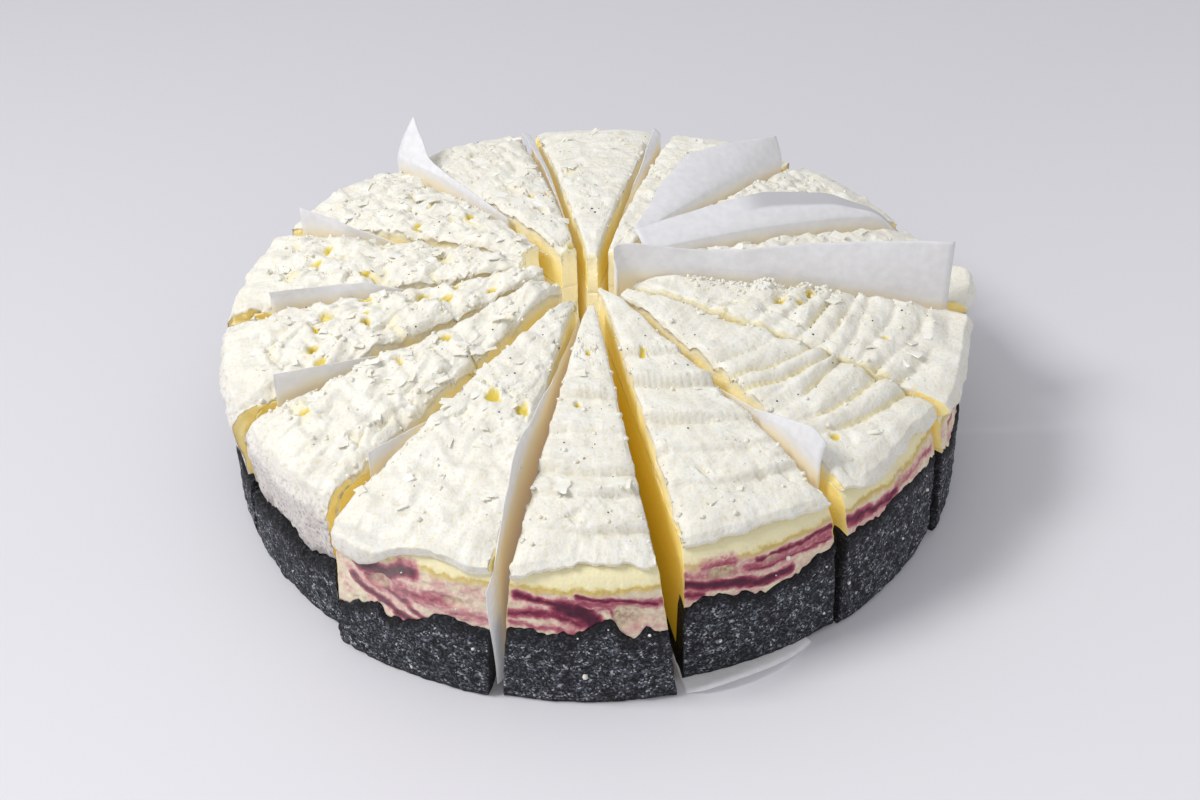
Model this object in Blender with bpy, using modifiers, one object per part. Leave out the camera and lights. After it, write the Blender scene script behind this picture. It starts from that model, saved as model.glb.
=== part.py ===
"""A baked cheesecake cut into fourteen slices that still stand together as a whole cake.

Every slice is three pieces: a black crumb crust with a raised outer wall, the baked cheesecake that
fills it, and the whipped cream on top. Thin sheets of baking paper stand in most of the cuts, and one
scrap of paper lies on the table under a slice. Metres, +Z up, the table at z = 0, -Y to the viewer.
"""

import math
from collections import namedtuple

import bmesh
import bpy
from mathutils import Euler, Vector

# Driving dimensions of the whole cake, in metres and radians
CAKE_RADIUS = 0.130
SLICE_COUNT = 14
SLICE_ANGLE = 2 * math.pi / SLICE_COUNT
FIRST_CUT = math.radians(-14.4)
FIT_GAP = 0.0003
KNIFE_GAP = 0.0006

# Heights through a slice
BASE_THICKNESS = 0.008
BAKED_TOP = 0.0545
CREAM_CENTRE = 0.0735
CREAM_RIM = 0.0565

# The crust wall: its inner foot, the two edges of its top with the crest between them, and the fall
# of that top on both sides of the crest
WALL_INNER = 0.1205
WALL_TOP_INNER = 0.1217
WALL_CREST = 0.1240
WALL_TOP_OUTER = 0.1293
WALL_SLOPE = 0.22
RIM_RAGGED = 0.0016

# The baked filling's side: a rounded shoulder from the flat top down to the crust wall, as (radius,
# height) corners, and how far the side steps back where the cream covers it
BAKED_SIDE = 0.1284
SHOULDER = ((0.1212, BAKED_TOP), (0.1247, 0.0524), (0.1270, 0.0470))
DRAPE_RECESS = 0.0030

# The cream's outer edge: where the dome starts to turn down, the turn itself, the nose that stands
# out over the shoulder and the lip under it; the last two change where the cream runs down the side
CREAM_TURN = 0.1170
CREAM_ROUND = (0.1232, 0.1262)
CREAM_NOSE = (0.1274, 0.0540)
CREAM_LIP = (0.1268, 0.0522)
DRAPED_NOSE_RISE = 0.0210
DRAPED_LIP = (0.1300, 0.0030)
LIP_DEPTH = 1.30
DRAPED_DEPTH = 2.90
EDGE_WAVE = 0.0005
TIP_DROP = 0.0025
TIP_ROUND = 0.012
STRAIGHT_MIDDLE = 0.065

# Baking paper
PAPER_THICKNESS = 0.0003
PAPER_BOTTOM = 0.0015
PAPER_ROWS = 5
PAPER_CLEAR = 0.0025
FLAP_LIFT = PAPER_THICKNESS + 2 * FIT_GAP

# How finely a slice is divided across
COLUMNS = 8
CREAM_COLUMNS = 6

# Curls of white chocolate: length, width, thickness
CHIP_LENGTH = (0.010, 0.015)
CHIP_WIDTH = 0.0065
CHIP_THICKNESS = 0.0016
CHIP_SPREAD = 0.55

# One row for each slice, from the front one round to the right. shift: how far it is pulled out from
# the middle; tip: where its point is blunted; lean: how far each cut side leans in at the top of the
# rim; rim: the crust wall's height at each cut; comb, pitch: depth and spacing of the spatula's
# ridges; lumps: size of the rough relief; sag: how far the cream slumps at the cuts; drape: 1 where
# the cream is smeared right down to the crust; bulge: how far it swells past the side; chips: shavings
Slice = namedtuple("Slice", "shift tip lean rim comb pitch lumps sag drape bulge chips")
SLICES = (
    Slice(0.0060, 0.0110, (0.0042, 0.0060), (0.029, 0.027), 0.0007, 0.0130, 0.0004, 0.0010, 0.00, 0.0000, 0),
    Slice(0.0000, 0.0067, (0.0006, 0.0022), (0.036, 0.039), 0.0010, 0.0135, 0.0005, 0.0012, 0.00, 0.0000, 0),
    Slice(0.0010, 0.0140, (0.0020, 0.0000), (0.041, 0.037), 0.0015, 0.0125, 0.0005, 0.0006, 0.00, 0.0010, 0),
    Slice(0.0030, 0.0125, (0.0000, 0.0015), (0.034, 0.032), 0.0017, 0.0125, 0.0006, 0.0006, 0.05, 0.0040, 0),
    Slice(0.0020, 0.0140, (0.0015, 0.0015), (0.031, 0.031), 0.0005, 0.0120, 0.0012, 0.0020, 0.10, 0.0020, 3),
    Slice(0.0020, 0.0145, (0.0015, 0.0015), (0.032, 0.030), 0.0005, 0.0120, 0.0012, 0.0020, 0.10, 0.0010, 0),
    Slice(0.0020, 0.0170, (0.0015, 0.0020), (0.031, 0.031), 0.0008, 0.0105, 0.0007, 0.0012, 0.10, 0.0000, 0),
    Slice(0.0020, 0.0115, (0.0020, 0.0020), (0.031, 0.030), 0.0009, 0.0095, 0.0004, 0.0010, 0.05, 0.0000, 0),
    Slice(0.0020, 0.0180, (0.0020, 0.0015), (0.031, 0.030), 0.0006, 0.0110, 0.0009, 0.0015, 0.10, 0.0000, 2),
    Slice(0.0020, 0.0280, (0.0015, 0.0015), (0.030, 0.028), 0.0000, 0.0120, 0.0016, 0.0020, 0.40, 0.0020, 5),
    Slice(0.0020, 0.0240, (0.0015, 0.0015), (0.028, 0.026), 0.0000, 0.0120, 0.0018, 0.0030, 0.85, 0.0040, 6),
    Slice(0.0020, 0.0155, (0.0015, 0.0015), (0.026, 0.025), 0.0000, 0.0120, 0.0018, 0.0030, 1.00, 0.0045, 6),
    Slice(0.0020, 0.0135, (0.0015, 0.0015), (0.025, 0.025), 0.0000, 0.0120, 0.0016, 0.0030, 1.00, 0.0020, 6),
    Slice(0.0070, 0.0075, (0.0020, 0.0005), (0.017, 0.027), 0.0004, 0.0120, 0.0010, 0.0015, 0.15, 0.0005, 5),
)
FLAP_SLICE = 1

# One row for each sheet: its cut, then stations from the inner edge outwards. Each station is the
# distance from the middle, the sheet's top there, how far the top leans sideways over the next slice,
# and how far the whole sheet stands off the middle of the cut
SHEETS = (
    (0, ((0.018, 0.066, 0.0, 0.0), (0.060, 0.068, 0.0, 0.0), (0.100, 0.0735, 0.0, 0.0),
         (0.126, 0.062, 0.0, 0.0), (0.1365, 0.049, 0.0, -0.0006), (0.1400, 0.046, 0.0, -0.0030))),
    (2, ((0.020, 0.058, 0.0, 0.0), (0.086, 0.065, 0.0, 0.0), (0.112, 0.0735, 0.0015, 0.0),
         (0.1175, 0.070, 0.002, 0.0))),
    (4, ((0.0095, 0.0780, 0.0, -0.0085), (0.0060, 0.0850, 0.0, -0.0005), (0.0150, 0.0850, 0.0, 0.0),
         (0.040, 0.0810, 0.0010, 0.0), (0.080, 0.0825, 0.0030, 0.0), (0.1265, 0.0850, 0.0, 0.0))),
    (5, ((0.021, 0.080, 0.0080, 0.0), (0.048, 0.079, 0.0110, 0.0), (0.075, 0.078, 0.0120, 0.0),
         (0.102, 0.072, 0.0090, 0.0), (0.120, 0.063, 0.0020, 0.0), (0.1310, 0.050, 0.0, 0.0))),
    (6, ((0.029, 0.076, 0.0030, 0.0), (0.055, 0.078, 0.0110, 0.0), (0.078, 0.079, 0.0150, 0.0),
         (0.100, 0.076, 0.0090, 0.0), (0.118, 0.072, 0.0030, 0.0))),
    (7, ((0.040, 0.064, 0.0, 0.0), (0.090, 0.066, 0.0010, 0.0), (0.117, 0.064, 0.0020, 0.0))),
    (8, ((0.035, 0.066, 0.0, 0.0), (0.080, 0.069, 0.0020, 0.0), (0.119, 0.0625, 0.0035, 0.0))),
    (9, ((0.050, 0.070, 0.0, 0.0), (0.090, 0.069, -0.0010, 0.0), (0.110, 0.067, -0.0035, 0.0),
         (0.120, 0.071, -0.0070, 0.0), (0.1275, 0.076, -0.0095, 0.0))),
    (10, ((0.035, 0.056, 0.0, 0.0), (0.086, 0.063, 0.0, 0.0), (0.124, 0.0665, 0.0, 0.0))),
    (11, ((0.030, 0.058, 0.0, 0.0), (0.080, 0.069, 0.0, 0.0), (0.115, 0.0665, 0.0010, 0.0))),
    (12, ((0.030, 0.056, 0.0, 0.0), (0.090, 0.0645, 0.0, 0.0), (0.1175, 0.069, 0.0010, 0.0))),
    (13, ((0.030, 0.055, 0.0, 0.0), (0.086, 0.061, 0.0, 0.0), (0.1130, 0.066, 0.0, 0.0))),
)

# The scrap of paper on the table: (angle from -Y in degrees, how far its curved edge reaches)
FLAP_EDGE = ((11.6, 0.1352), (14.0, 0.1370), (17.0, 0.1372), (20.0, 0.1368), (24.0, 0.1358),
             (28.0, 0.1340), (32.0, 0.1312))
FLAP_INNER = 0.118


def clear_scene():
    for item in list(bpy.data.objects):
        bpy.data.objects.remove(item)


def make_material(name, colour, roughness):
    material = bpy.data.materials.new(name)
    material.use_nodes = True
    shader = material.node_tree.nodes["Principled BSDF"]
    shader.inputs["Base Color"].default_value = (*colour, 1.0)
    shader.inputs["Roughness"].default_value = roughness
    shader.inputs["Metallic"].default_value = 0.0
    return material


def mix(low, high, share):
    return low + (high - low) * share


def smooth_step(share):
    share = min(max(share, 0.0), 1.0)
    return share * share * (3 - 2 * share)


def around(radius, angle, height):
    """A point at a distance from the middle, its angle counted from -Y towards +X."""
    return Vector((radius * math.sin(angle), -radius * math.cos(angle), height))


def slice_middle(index):
    return FIRST_CUT + (index + 0.5) * SLICE_ANGLE


def half_angle(piece, side, radius, height):
    """Half the angle that a slice takes on one side of its middle, inside the knife's gap."""
    gap = math.asin(min(KNIFE_GAP / radius, 0.9))
    lean = piece.lean[side] / CAKE_RADIUS * height / CREAM_RIM
    return SLICE_ANGLE / 2 - gap - lean


def in_slice(index, radius, across, height):
    """A point of a slice: across runs from -1 at one cut to 1 at the other."""
    piece = SLICES[index]
    side = 1 if across > 0 else 0
    angle = slice_middle(index) + across * half_angle(piece, side, radius, height)
    return around(radius, angle, height) + around(piece.shift, slice_middle(index), 0.0)


def rough(x, y):
    """Lumps about 2 cm apart with smaller ones between them: warped waves, from -1 to 1."""
    broad = math.sin(290 * x + 1.4 * math.sin(210 * y + 0.7)) * math.sin(250 * y + 1.1 * math.sin(260 * x))
    fine = math.sin(560 * y + 1.7 * math.sin(390 * x)) * math.sin(610 * x - 0.9)
    return 0.65 * broad + 0.35 * fine


def rim_height(index, across):
    """The crust wall's uneven top edge."""
    start, end = SLICES[index].rim
    ragged = math.sin(5.1 * across + 2.3 * index) + 0.6 * math.sin(11.7 * across + 4.1 * index)
    return mix(start, end, (across + 1) / 2) + RIM_RAGGED * ragged


def wall_top(index, radius, across):
    """The top of the crust wall, which falls away on both sides of its crest."""
    return rim_height(index, across) - WALL_SLOPE * abs(radius - WALL_CREST)


def dome(radius):
    """The even shape under the cream's relief: highest in the middle, lower at the rim."""
    return mix(CREAM_CENTRE, CREAM_RIM, (radius / CAKE_RADIUS) ** 2)


def cream_height(index, radius, across):
    """The cream's top: the dome with ridges and lumps, lower at the cuts and at the slice's point."""
    piece = SLICES[index]
    place = in_slice(index, radius, across, dome(radius))
    ridge = piece.comb * math.cos(2 * math.pi * (CREAM_TURN - radius) / piece.pitch)
    fade = smooth_step((radius - 0.020) / 0.040)
    slump = piece.sag * abs(across) ** 5
    point = TIP_DROP * (1 - smooth_step((radius - piece.tip) / TIP_ROUND))
    return dome(radius) + ridge * fade + piece.lumps * rough(place.x, place.y) - slump - point


def level(radius, height):
    return lambda across: (radius, height)


def skin(name, stations_top, stations_bottom, columns, index, material):
    """A solid between two layers of one slice, each a list of stations from the point outwards.

    A station is a function that gives the radius and height at a place across the slice. A flat
    grid is raised into a thin block, and each of its points then moves to its station.
    """
    mesh = bpy.data.meshes.new(name)
    shape = bmesh.new()
    last = len(stations_top) - 1
    bmesh.ops.create_grid(shape, x_segments=last, y_segments=columns, size=1.0)
    raised = bmesh.ops.extrude_face_region(shape, geom=shape.faces[:])
    for vertex in raised["geom"]:
        if isinstance(vertex, bmesh.types.BMVert):
            vertex.co.z = 1.0
    for vertex in shape.verts:
        station = round((vertex.co.x + 1) / 2 * last)
        stations = stations_top if vertex.co.z > 0.5 else stations_bottom
        across = vertex.co.y
        radius, height = stations[station](across)
        vertex.co = in_slice(index, radius, across, height)
    bmesh.ops.recalc_face_normals(shape, faces=shape.faces[:])
    bmesh.ops.dissolve_limit(shape, angle_limit=math.radians(0.1), verts=shape.verts[:],
                             edges=shape.edges[:])
    shape.to_mesh(mesh)
    shape.free()
    return add_object(name, mesh, material)


def add_object(name, mesh, material):
    item = bpy.data.objects.new(name, mesh)
    item.data.materials.append(material)
    CAKE.objects.link(item)
    return item


def make_crust(index, material):
    """The base of the slice with its outer wall: pressed dark crumb."""
    piece = SLICES[index]
    foot = FLAP_LIFT if index == FLAP_SLICE else 0.0

    def wall(radius):
        return lambda across: (radius, wall_top(index, radius, across))

    base = (piece.tip, STRAIGHT_MIDDLE, WALL_INNER)
    top = [level(radius, BASE_THICKNESS) for radius in base]
    top += [wall(radius) for radius in (WALL_TOP_INNER, WALL_CREST, WALL_TOP_OUTER)]
    bottom = [level(radius, foot) for radius in (*base, WALL_TOP_INNER, WALL_CREST, CAKE_RADIUS)]
    return skin(f"crust_{index + 1:02d}", top, bottom, COLUMNS, index, material)


def shoulder_line(index, depth, across):
    """A point on the baked filling's side: whole depths are its corners, from the top down."""
    recess = DRAPE_RECESS * SLICES[index].drape
    foot = (BAKED_SIDE, wall_top(index, BAKED_SIDE - recess, across))
    corners = (*SHOULDER, foot)
    lower = min(int(depth), len(corners) - 2)
    share = depth - lower
    radius = mix(corners[lower][0], corners[lower + 1][0], share) - recess
    return radius, mix(corners[lower][1], corners[lower + 1][1], share)


def make_baked(index, material):
    """The baked filling: it stands in the crust, laps over the wall and has a rounded shoulder."""
    piece = SLICES[index]
    side = BAKED_SIDE - DRAPE_RECESS * piece.drape
    floor = BASE_THICKNESS + FIT_GAP

    def over_wall(radius):
        return lambda across: (radius, wall_top(index, radius, across) + FIT_GAP)

    def shoulder(corner):
        return lambda across: shoulder_line(index, corner, across)

    inner = (piece.tip, STRAIGHT_MIDDLE, WALL_INNER - FIT_GAP)
    bottom = [level(radius, floor) for radius in inner]
    bottom += [over_wall(radius) for radius in (WALL_TOP_INNER - FIT_GAP, WALL_CREST, side)]
    top = [level(radius, BAKED_TOP) for radius in (piece.tip, STRAIGHT_MIDDLE, CREAM_TURN - 0.005)]
    top += [shoulder(corner) for corner in (0, 1, 2)]
    return skin(f"cheesecake_{index + 1:02d}", top, bottom, COLUMNS, index, material)


def cream_stations(piece):
    """Distances from the middle, on the crests and troughs of the ridges where there are any."""
    step = piece.pitch / 2
    count = int((CREAM_TURN - piece.tip - step * 0.6) / step)
    return [piece.tip] + [CREAM_TURN - step * number for number in range(count, -1, -1)]


def make_cream(index, material):
    """Whipped cream, ridged by a spatula or rough with shavings, with a lip over the shoulder."""
    piece = SLICES[index]
    under = 1.5 * FIT_GAP

    def surface(radius, bulge, drop):
        def place(across):
            return radius + bulge * piece.bulge, cream_height(index, radius, across) - drop
        return place

    def edge(radius, plain, rise):
        def place(across):
            wave = EDGE_WAVE * math.sin(4.3 * across + 2.9 * index)
            draped = rim_height(index, across) + rise
            return radius + wave, mix(plain, draped, piece.drape) + wave
        return place

    def under_side(depth):
        def place(across):
            radius, height = shoulder_line(index, depth, across)
            return radius + under, height + under
        return place

    inner = cream_stations(piece)
    lip_radius = mix(CREAM_LIP[0], DRAPED_LIP[0], piece.drape) + 0.4 * piece.bulge
    top = [surface(radius, 0.0, 0.0) for radius in inner]
    top += [surface(CREAM_ROUND[0], 0.4, 0.0004), surface(CREAM_ROUND[1], 0.8, 0.0016),
            edge(CREAM_NOSE[0] + piece.bulge, CREAM_NOSE[1], DRAPED_NOSE_RISE),
            edge(lip_radius, CREAM_LIP[1], DRAPED_LIP[1])]
    end_depth = mix(LIP_DEPTH, DRAPED_DEPTH, piece.drape)
    turn_depth = min((1.0 + end_depth) / 2, 2.0) if end_depth < 2.0 else 2.0
    bottom = [level(radius, BAKED_TOP + FIT_GAP) for radius in inner]
    bottom += [under_side(depth) for depth in (0.0, 1.0, turn_depth, end_depth)]
    return skin(f"cream_{index + 1:02d}", top, bottom, CREAM_COLUMNS, index, material)


def scatter_chips(index):
    """Curls of white chocolate, as small slanted plates half sunk in the cream."""
    piece = SLICES[index]
    chips = bpy.data.collections.new("chips")
    nearest = piece.tip + 2 * TIP_ROUND
    farthest = CREAM_TURN - TIP_ROUND / 2
    for number in range(piece.chips):
        radius = mix(nearest, farthest, math.sqrt((number + 0.5) / piece.chips))
        across = CHIP_SPREAD * math.sin(2.4 * number + 1.3 * index)
        height = cream_height(index, radius, across) + CHIP_THICKNESS / 3
        length = mix(*CHIP_LENGTH, (0.618 * number) % 1.0)
        slant = Euler((0.35 * math.sin(3.1 * number), 0.30 + 0.15 * math.cos(number), 2.4 * number + index))
        shape = bmesh.new()
        bmesh.ops.create_cube(shape, size=1.0)
        bmesh.ops.scale(shape, vec=(length, CHIP_WIDTH, CHIP_THICKNESS), verts=shape.verts[:])
        bmesh.ops.rotate(shape, matrix=slant.to_matrix(), verts=shape.verts[:])
        bmesh.ops.translate(shape, vec=in_slice(index, radius, across, height), verts=shape.verts[:])
        mesh = bpy.data.meshes.new("chip")
        shape.to_mesh(mesh)
        shape.free()
        chips.objects.link(bpy.data.objects.new("chip", mesh))
    return chips


def fuse(item, additions):
    """Joins the objects of a collection to one object by a single union, then removes them."""
    union = item.modifiers.new("union", "BOOLEAN")
    union.operand_type = "COLLECTION"
    union.operation = "UNION"
    union.solver = "EXACT"
    union.collection = additions
    bpy.context.scene.collection.children.link(additions)
    graph = bpy.context.evaluated_depsgraph_get()
    fused = bpy.data.meshes.new_from_object(item.evaluated_get(graph))
    item.modifiers.clear()
    item.data = fused
    for chip in list(additions.objects):
        bpy.data.objects.remove(chip)
    bpy.data.collections.remove(additions)


def thicken(name, shape, material):
    """Makes an open sheet a solid of the paper's thickness."""
    mesh = bpy.data.meshes.new(name)
    shape.to_mesh(mesh)
    shape.free()
    sheet = add_object(name, mesh, material)
    solid = sheet.modifiers.new("thickness", "SOLIDIFY")
    solid.thickness = PAPER_THICKNESS
    solid.offset = 0.0


def make_sheet(cut, stations, material):
    """A sheet of paper on edge in a cut. Above the cream it may lean over the slice beside it."""
    shape = bmesh.new()
    last = len(stations) - 1
    bmesh.ops.create_grid(shape, x_segments=last, y_segments=PAPER_ROWS, size=1.0)
    angle = FIRST_CUT + cut * SLICE_ANGLE
    centre = (SLICES[cut].shift - SLICES[cut - 1].shift) * math.sin(SLICE_ANGLE / 2) / 2
    for vertex in shape.verts:
        along, top, lean, aside = stations[round((vertex.co.x + 1) / 2 * last)]
        row = round((vertex.co.y + 1) / 2 * PAPER_ROWS)
        knee = min(dome(along) + PAPER_CLEAR, top - PAPER_CLEAR)
        loose = max(row - 1, 0) / (PAPER_ROWS - 1)
        height = mix(knee, top, loose) if row else PAPER_BOTTOM
        sideways = centre + aside + lean * loose ** 1.5
        vertex.co = around(along, angle, height) + around(sideways, angle + math.pi / 2, 0.0)
    thicken(f"paper_{cut + 1:02d}", shape, material)


def make_flap(material):
    """The scrap of paper that shows from under one slice."""
    shape = bmesh.new()
    last = len(FLAP_EDGE) - 1
    bmesh.ops.create_grid(shape, x_segments=last, y_segments=1, size=1.0)
    for vertex in shape.verts:
        degrees, reach = FLAP_EDGE[round((vertex.co.x + 1) / 2 * last)]
        radius = reach if vertex.co.y > 0 else FLAP_INNER
        vertex.co = around(radius, math.radians(degrees), (FIT_GAP + PAPER_THICKNESS) / 2)
    thicken("paper_flap", shape, material)


def centre_cake():
    """Hangs every piece on one empty, placed so that the cake's box stands centred on the origin."""
    graph = bpy.context.evaluated_depsgraph_get()
    corners = [Vector(corner) for item in CAKE.objects for corner in item.evaluated_get(graph).bound_box]
    middle = [(min(c[axis] for c in corners) + max(c[axis] for c in corners)) / 2 for axis in (0, 1)]
    ring = bpy.data.objects.new("ring", None)
    ring.location = (-middle[0], -middle[1], 0.0)
    for item in list(CAKE.objects):
        item.parent = ring
    CAKE.objects.link(ring)
    print("the cake's own axis stands at", [round(value, 5) for value in ring.location])


clear_scene()
CAKE = bpy.data.collections.new("cheesecake")
bpy.context.scene.collection.children.link(CAKE)

crumb = make_material("black cookie crumb", (0.012, 0.013, 0.016), 0.85)
baked = make_material("baked cheesecake", (0.72, 0.55, 0.38), 0.45)
cream = make_material("whipped cream", (0.86, 0.83, 0.74), 0.50)
paper = make_material("baking paper", (0.70, 0.70, 0.72), 0.60)

for number in range(SLICE_COUNT):
    make_crust(number, crumb)
    make_baked(number, baked)
    topping = make_cream(number, cream)
    if SLICES[number].chips:
        fuse(topping, scatter_chips(number))
for cut_number, sheet_stations in SHEETS:
    make_sheet(cut_number, sheet_stations, paper)
make_flap(paper)
centre_cake()
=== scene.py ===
# %% [markdown]
# # A sliced cheesecake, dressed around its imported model
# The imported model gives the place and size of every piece: fourteen slices, each a crumb crust, a
# baked filling and whipped cream, with sheets of baking paper in the cuts. Here every piece gets its
# real surface. The model is loaded first and is never moved, so each new piece is worked out from the
# same sizes and lands on its node by itself.

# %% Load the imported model
import math
from collections import namedtuple

import bpy
import numpy as np
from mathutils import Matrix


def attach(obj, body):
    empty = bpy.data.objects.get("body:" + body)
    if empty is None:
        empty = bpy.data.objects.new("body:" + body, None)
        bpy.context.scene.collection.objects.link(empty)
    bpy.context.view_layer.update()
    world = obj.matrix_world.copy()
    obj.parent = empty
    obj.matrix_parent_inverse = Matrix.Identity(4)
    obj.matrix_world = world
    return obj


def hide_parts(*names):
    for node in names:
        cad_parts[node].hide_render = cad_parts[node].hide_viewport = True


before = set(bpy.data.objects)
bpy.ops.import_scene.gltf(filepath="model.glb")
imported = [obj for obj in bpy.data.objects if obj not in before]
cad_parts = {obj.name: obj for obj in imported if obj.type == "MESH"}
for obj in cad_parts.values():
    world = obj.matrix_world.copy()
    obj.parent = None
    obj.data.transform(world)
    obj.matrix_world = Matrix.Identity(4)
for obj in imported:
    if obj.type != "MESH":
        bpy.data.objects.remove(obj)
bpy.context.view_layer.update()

# %% [markdown]
# ## The camera
# The photograph looks down on the cake at about 39 degrees through a lens of normal length. An aim
# constraint would be the quick way, but a matrix built from three named angles gives the small roll
# of the hand-held picture as well.

# %% Set up the camera
CAKE_AXIS = np.array([-0.00012, 0.002, 0.0])
CAMERA_PLACE = CAKE_AXIS + [0.0, -0.5228, 0.4359]
CAMERA_PITCH = math.radians(38.83)
CAMERA_YAW = math.radians(0.22)
CAMERA_ROLL = math.radians(-1.18)
LENS_MM = 54.0


def look_from(place, pitch, yaw, roll):
    """A camera's 4 x 4 matrix: the view direction from pitch and yaw, then right and up turned by roll."""
    ahead = np.array([math.sin(yaw) * math.cos(pitch), math.cos(yaw) * math.cos(pitch), -math.sin(pitch)])
    right = np.cross(ahead, [0.0, 0.0, 1.0])
    right /= np.linalg.norm(right)
    up = np.cross(right, ahead)
    matrix = np.eye(4)
    matrix[:3, 0] = right * math.cos(roll) + up * math.sin(roll)
    matrix[:3, 1] = up * math.cos(roll) - right * math.sin(roll)
    matrix[:3, 2] = -ahead
    matrix[:3, 3] = place
    return matrix


scene = bpy.context.scene
camera = bpy.data.objects.new("camera", bpy.data.cameras.new("camera"))
camera.data.sensor_width = 36.0
camera.data.lens = LENS_MM
camera.matrix_world = look_from(CAMERA_PLACE, CAMERA_PITCH, CAMERA_YAW, CAMERA_ROLL).T.tolist()
scene.collection.objects.link(camera)
scene.camera = camera
scene.view_settings.view_transform = "Standard"
print("camera at", np.round(CAMERA_PLACE, 3), "with a lens of", LENS_MM, "mm")

# %% [markdown]
# ## Sizes of the cake
# These are the model's own sizes, in metres and radians. A slice is described by one row: how far it
# is pulled out, where its point is blunted, how its sides lean, how high its crust wall stands, and
# how its cream was spread. Working from the same row in both files is what makes the surfaces fit.

# %% Sizes shared with the model
CAKE_RADIUS = 0.130
SLICE_COUNT = 14
SLICE_ANGLE = 2 * math.pi / SLICE_COUNT
FIRST_CUT = math.radians(-14.4)
FIT_GAP = 0.0003
KNIFE_GAP = 0.0006
BASE_THICKNESS = 0.008
BAKED_TOP = 0.0545
CREAM_CENTRE = 0.0735
CREAM_RIM = 0.0565
WALL_INNER = 0.1205
WALL_TOP_INNER = 0.1217
WALL_CREST = 0.1240
WALL_TOP_OUTER = 0.1293
WALL_SLOPE = 0.22
RIM_RAGGED = 0.0016
BAKED_SIDE = 0.1284
SHOULDER = ((0.1212, BAKED_TOP), (0.1247, 0.0524), (0.1270, 0.0470))
DRAPE_RECESS = 0.0030
CREAM_TURN = 0.1170
CREAM_REACH = 0.1262
CREAM_LIP = 0.0522
DRAPED_NOSE_RISE = 0.0210
DRAPED_LIP = 0.0030
TIP_DROP = 0.0025
TIP_ROUND = 0.012
STRAIGHT_MIDDLE = 0.065
FLAP_SLICE = 1
FLAP_LIFT = 0.0009

# The lengths in mm; then drape, how far the cream runs down the side (0 to 1), torn, how much of it is
# rough and flaky instead of smooth (0 to 1), and flakes, the number of shavings on top
Slice = namedtuple("Slice", "shift tip lean rim comb pitch lumps sag bulge drape torn flakes")
LENGTHS = 9
ROWS = (
    (6, 11, (4.2, 6), (29, 27), 2.1, 13, 0.4, 1, 0, 0, 0.36, 4),
    (0, 6.7, (0.6, 2.2), (36, 39), 2.7, 13.5, 0.5, 1.2, 0, 0, 0.36, 4),
    (1, 14, (2, 0), (41, 37), 2, 12.5, 0.5, 0.6, 1, 0, 0.34, 3),
    (3, 12.5, (0, 1.5), (34, 32), 2.3, 12.5, 0.6, 0.6, 4, 0.05, 0.5, 12),
    (2, 14, (1.5, 1.5), (31, 31), 0.5, 12, 1.2, 2, 2, 0.1, 0.8, 18),
    (2, 14.5, (1.5, 1.5), (32, 30), 0.5, 12, 1.2, 2, 1, 0.1, 0.8, 18),
    (2, 17, (1.5, 2), (31, 31), 0.8, 10.5, 0.7, 1.2, 0, 0.1, 0.4, 12),
    (2, 11.5, (2, 2), (31, 30), 0.9, 9.5, 0.4, 1, 0, 0.05, 0.3, 8),
    (2, 18, (2, 1.5), (31, 30), 0.6, 11, 0.9, 1.5, 0, 0.1, 0.6, 16),
    (2, 28, (1.5, 1.5), (30, 28), 0, 12, 1.6, 2, 2, 0.4, 0.9, 26),
    (2, 24, (1.5, 1.5), (28, 26), 0, 12, 1.8, 3, 4, 0.85, 1, 30),
    (2, 15.5, (1.5, 1.5), (26, 25), 0, 12, 1.8, 3, 4.5, 1, 1, 30),
    (2, 13.5, (1.5, 1.5), (25, 25), 0, 12, 1.6, 3, 2, 1, 1, 34),
    (7, 7.5, (2, -3), (17, 27), 0.4, 12, 1, 1.5, 0.5, 0.15, 0.6, 22),
)
SLICES = [Slice(*(np.array(value) / 1000 for value in row[:LENGTHS]), *row[LENGTHS:]) for row in ROWS]
print(len(SLICES), "slices of", round(math.degrees(SLICE_ANGLE), 1), "degrees")

# %% [markdown]
# ## Noise
# Food has no flat place on it. Blender's texture nodes can roughen a surface, but only in the render;
# relief that should be there from every side and in the mesh itself has to be in the points. So a
# small noise function works on whole arrays of points at once.

# %% Noise on arrays of points
draw = np.random.default_rng(14)
LATTICE_SIZE = 32
LATTICE = draw.uniform(-1.0, 1.0, (LATTICE_SIZE,) * 3)


def noise(places, size, seed=0.0):
    """Smooth noise from -1 to 1 whose lumps have one size.

    Random numbers stand on a cube lattice. A point takes the numbers of the 8 corners around it,
    each weighted by a smooth step of its distance along x, y and z.
    """
    scaled = np.asarray(places) / size + seed
    corner = np.floor(scaled).astype(int)
    share = scaled - corner
    share = share * share * (3 - 2 * share)
    total = np.zeros(scaled.shape[:-1])
    for step in np.ndindex(2, 2, 2):
        weight = np.prod(np.where(step, share, 1 - share), axis=-1)
        x, y, z = np.moveaxis((corner + step) % LATTICE_SIZE, -1, 0)
        total += weight * LATTICE[x, y, z]
    return total


def crests(places, size, seed=0.0):
    """Noise with sharp crests: 1 minus twice the noise's absolute value, so it runs from -1 to 1."""
    return 1 - 2 * np.abs(noise(places, size, seed))


def smooth_step(low, high, value):
    """0 below low, 1 above high, and 3 t squared minus 2 t cubed between them."""
    share = np.clip((value - low) / (high - low), 0.0, 1.0)
    return share * share * (3 - 2 * share)


def bell(value, middle, width):
    """1 at the middle, falling off to both sides: e to the minus square of the distance in widths."""
    return np.exp(-((value - middle) / width) ** 2)


print("noise of a few points:", np.round(noise(np.eye(3) * 0.01, 0.004), 2))

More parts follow.
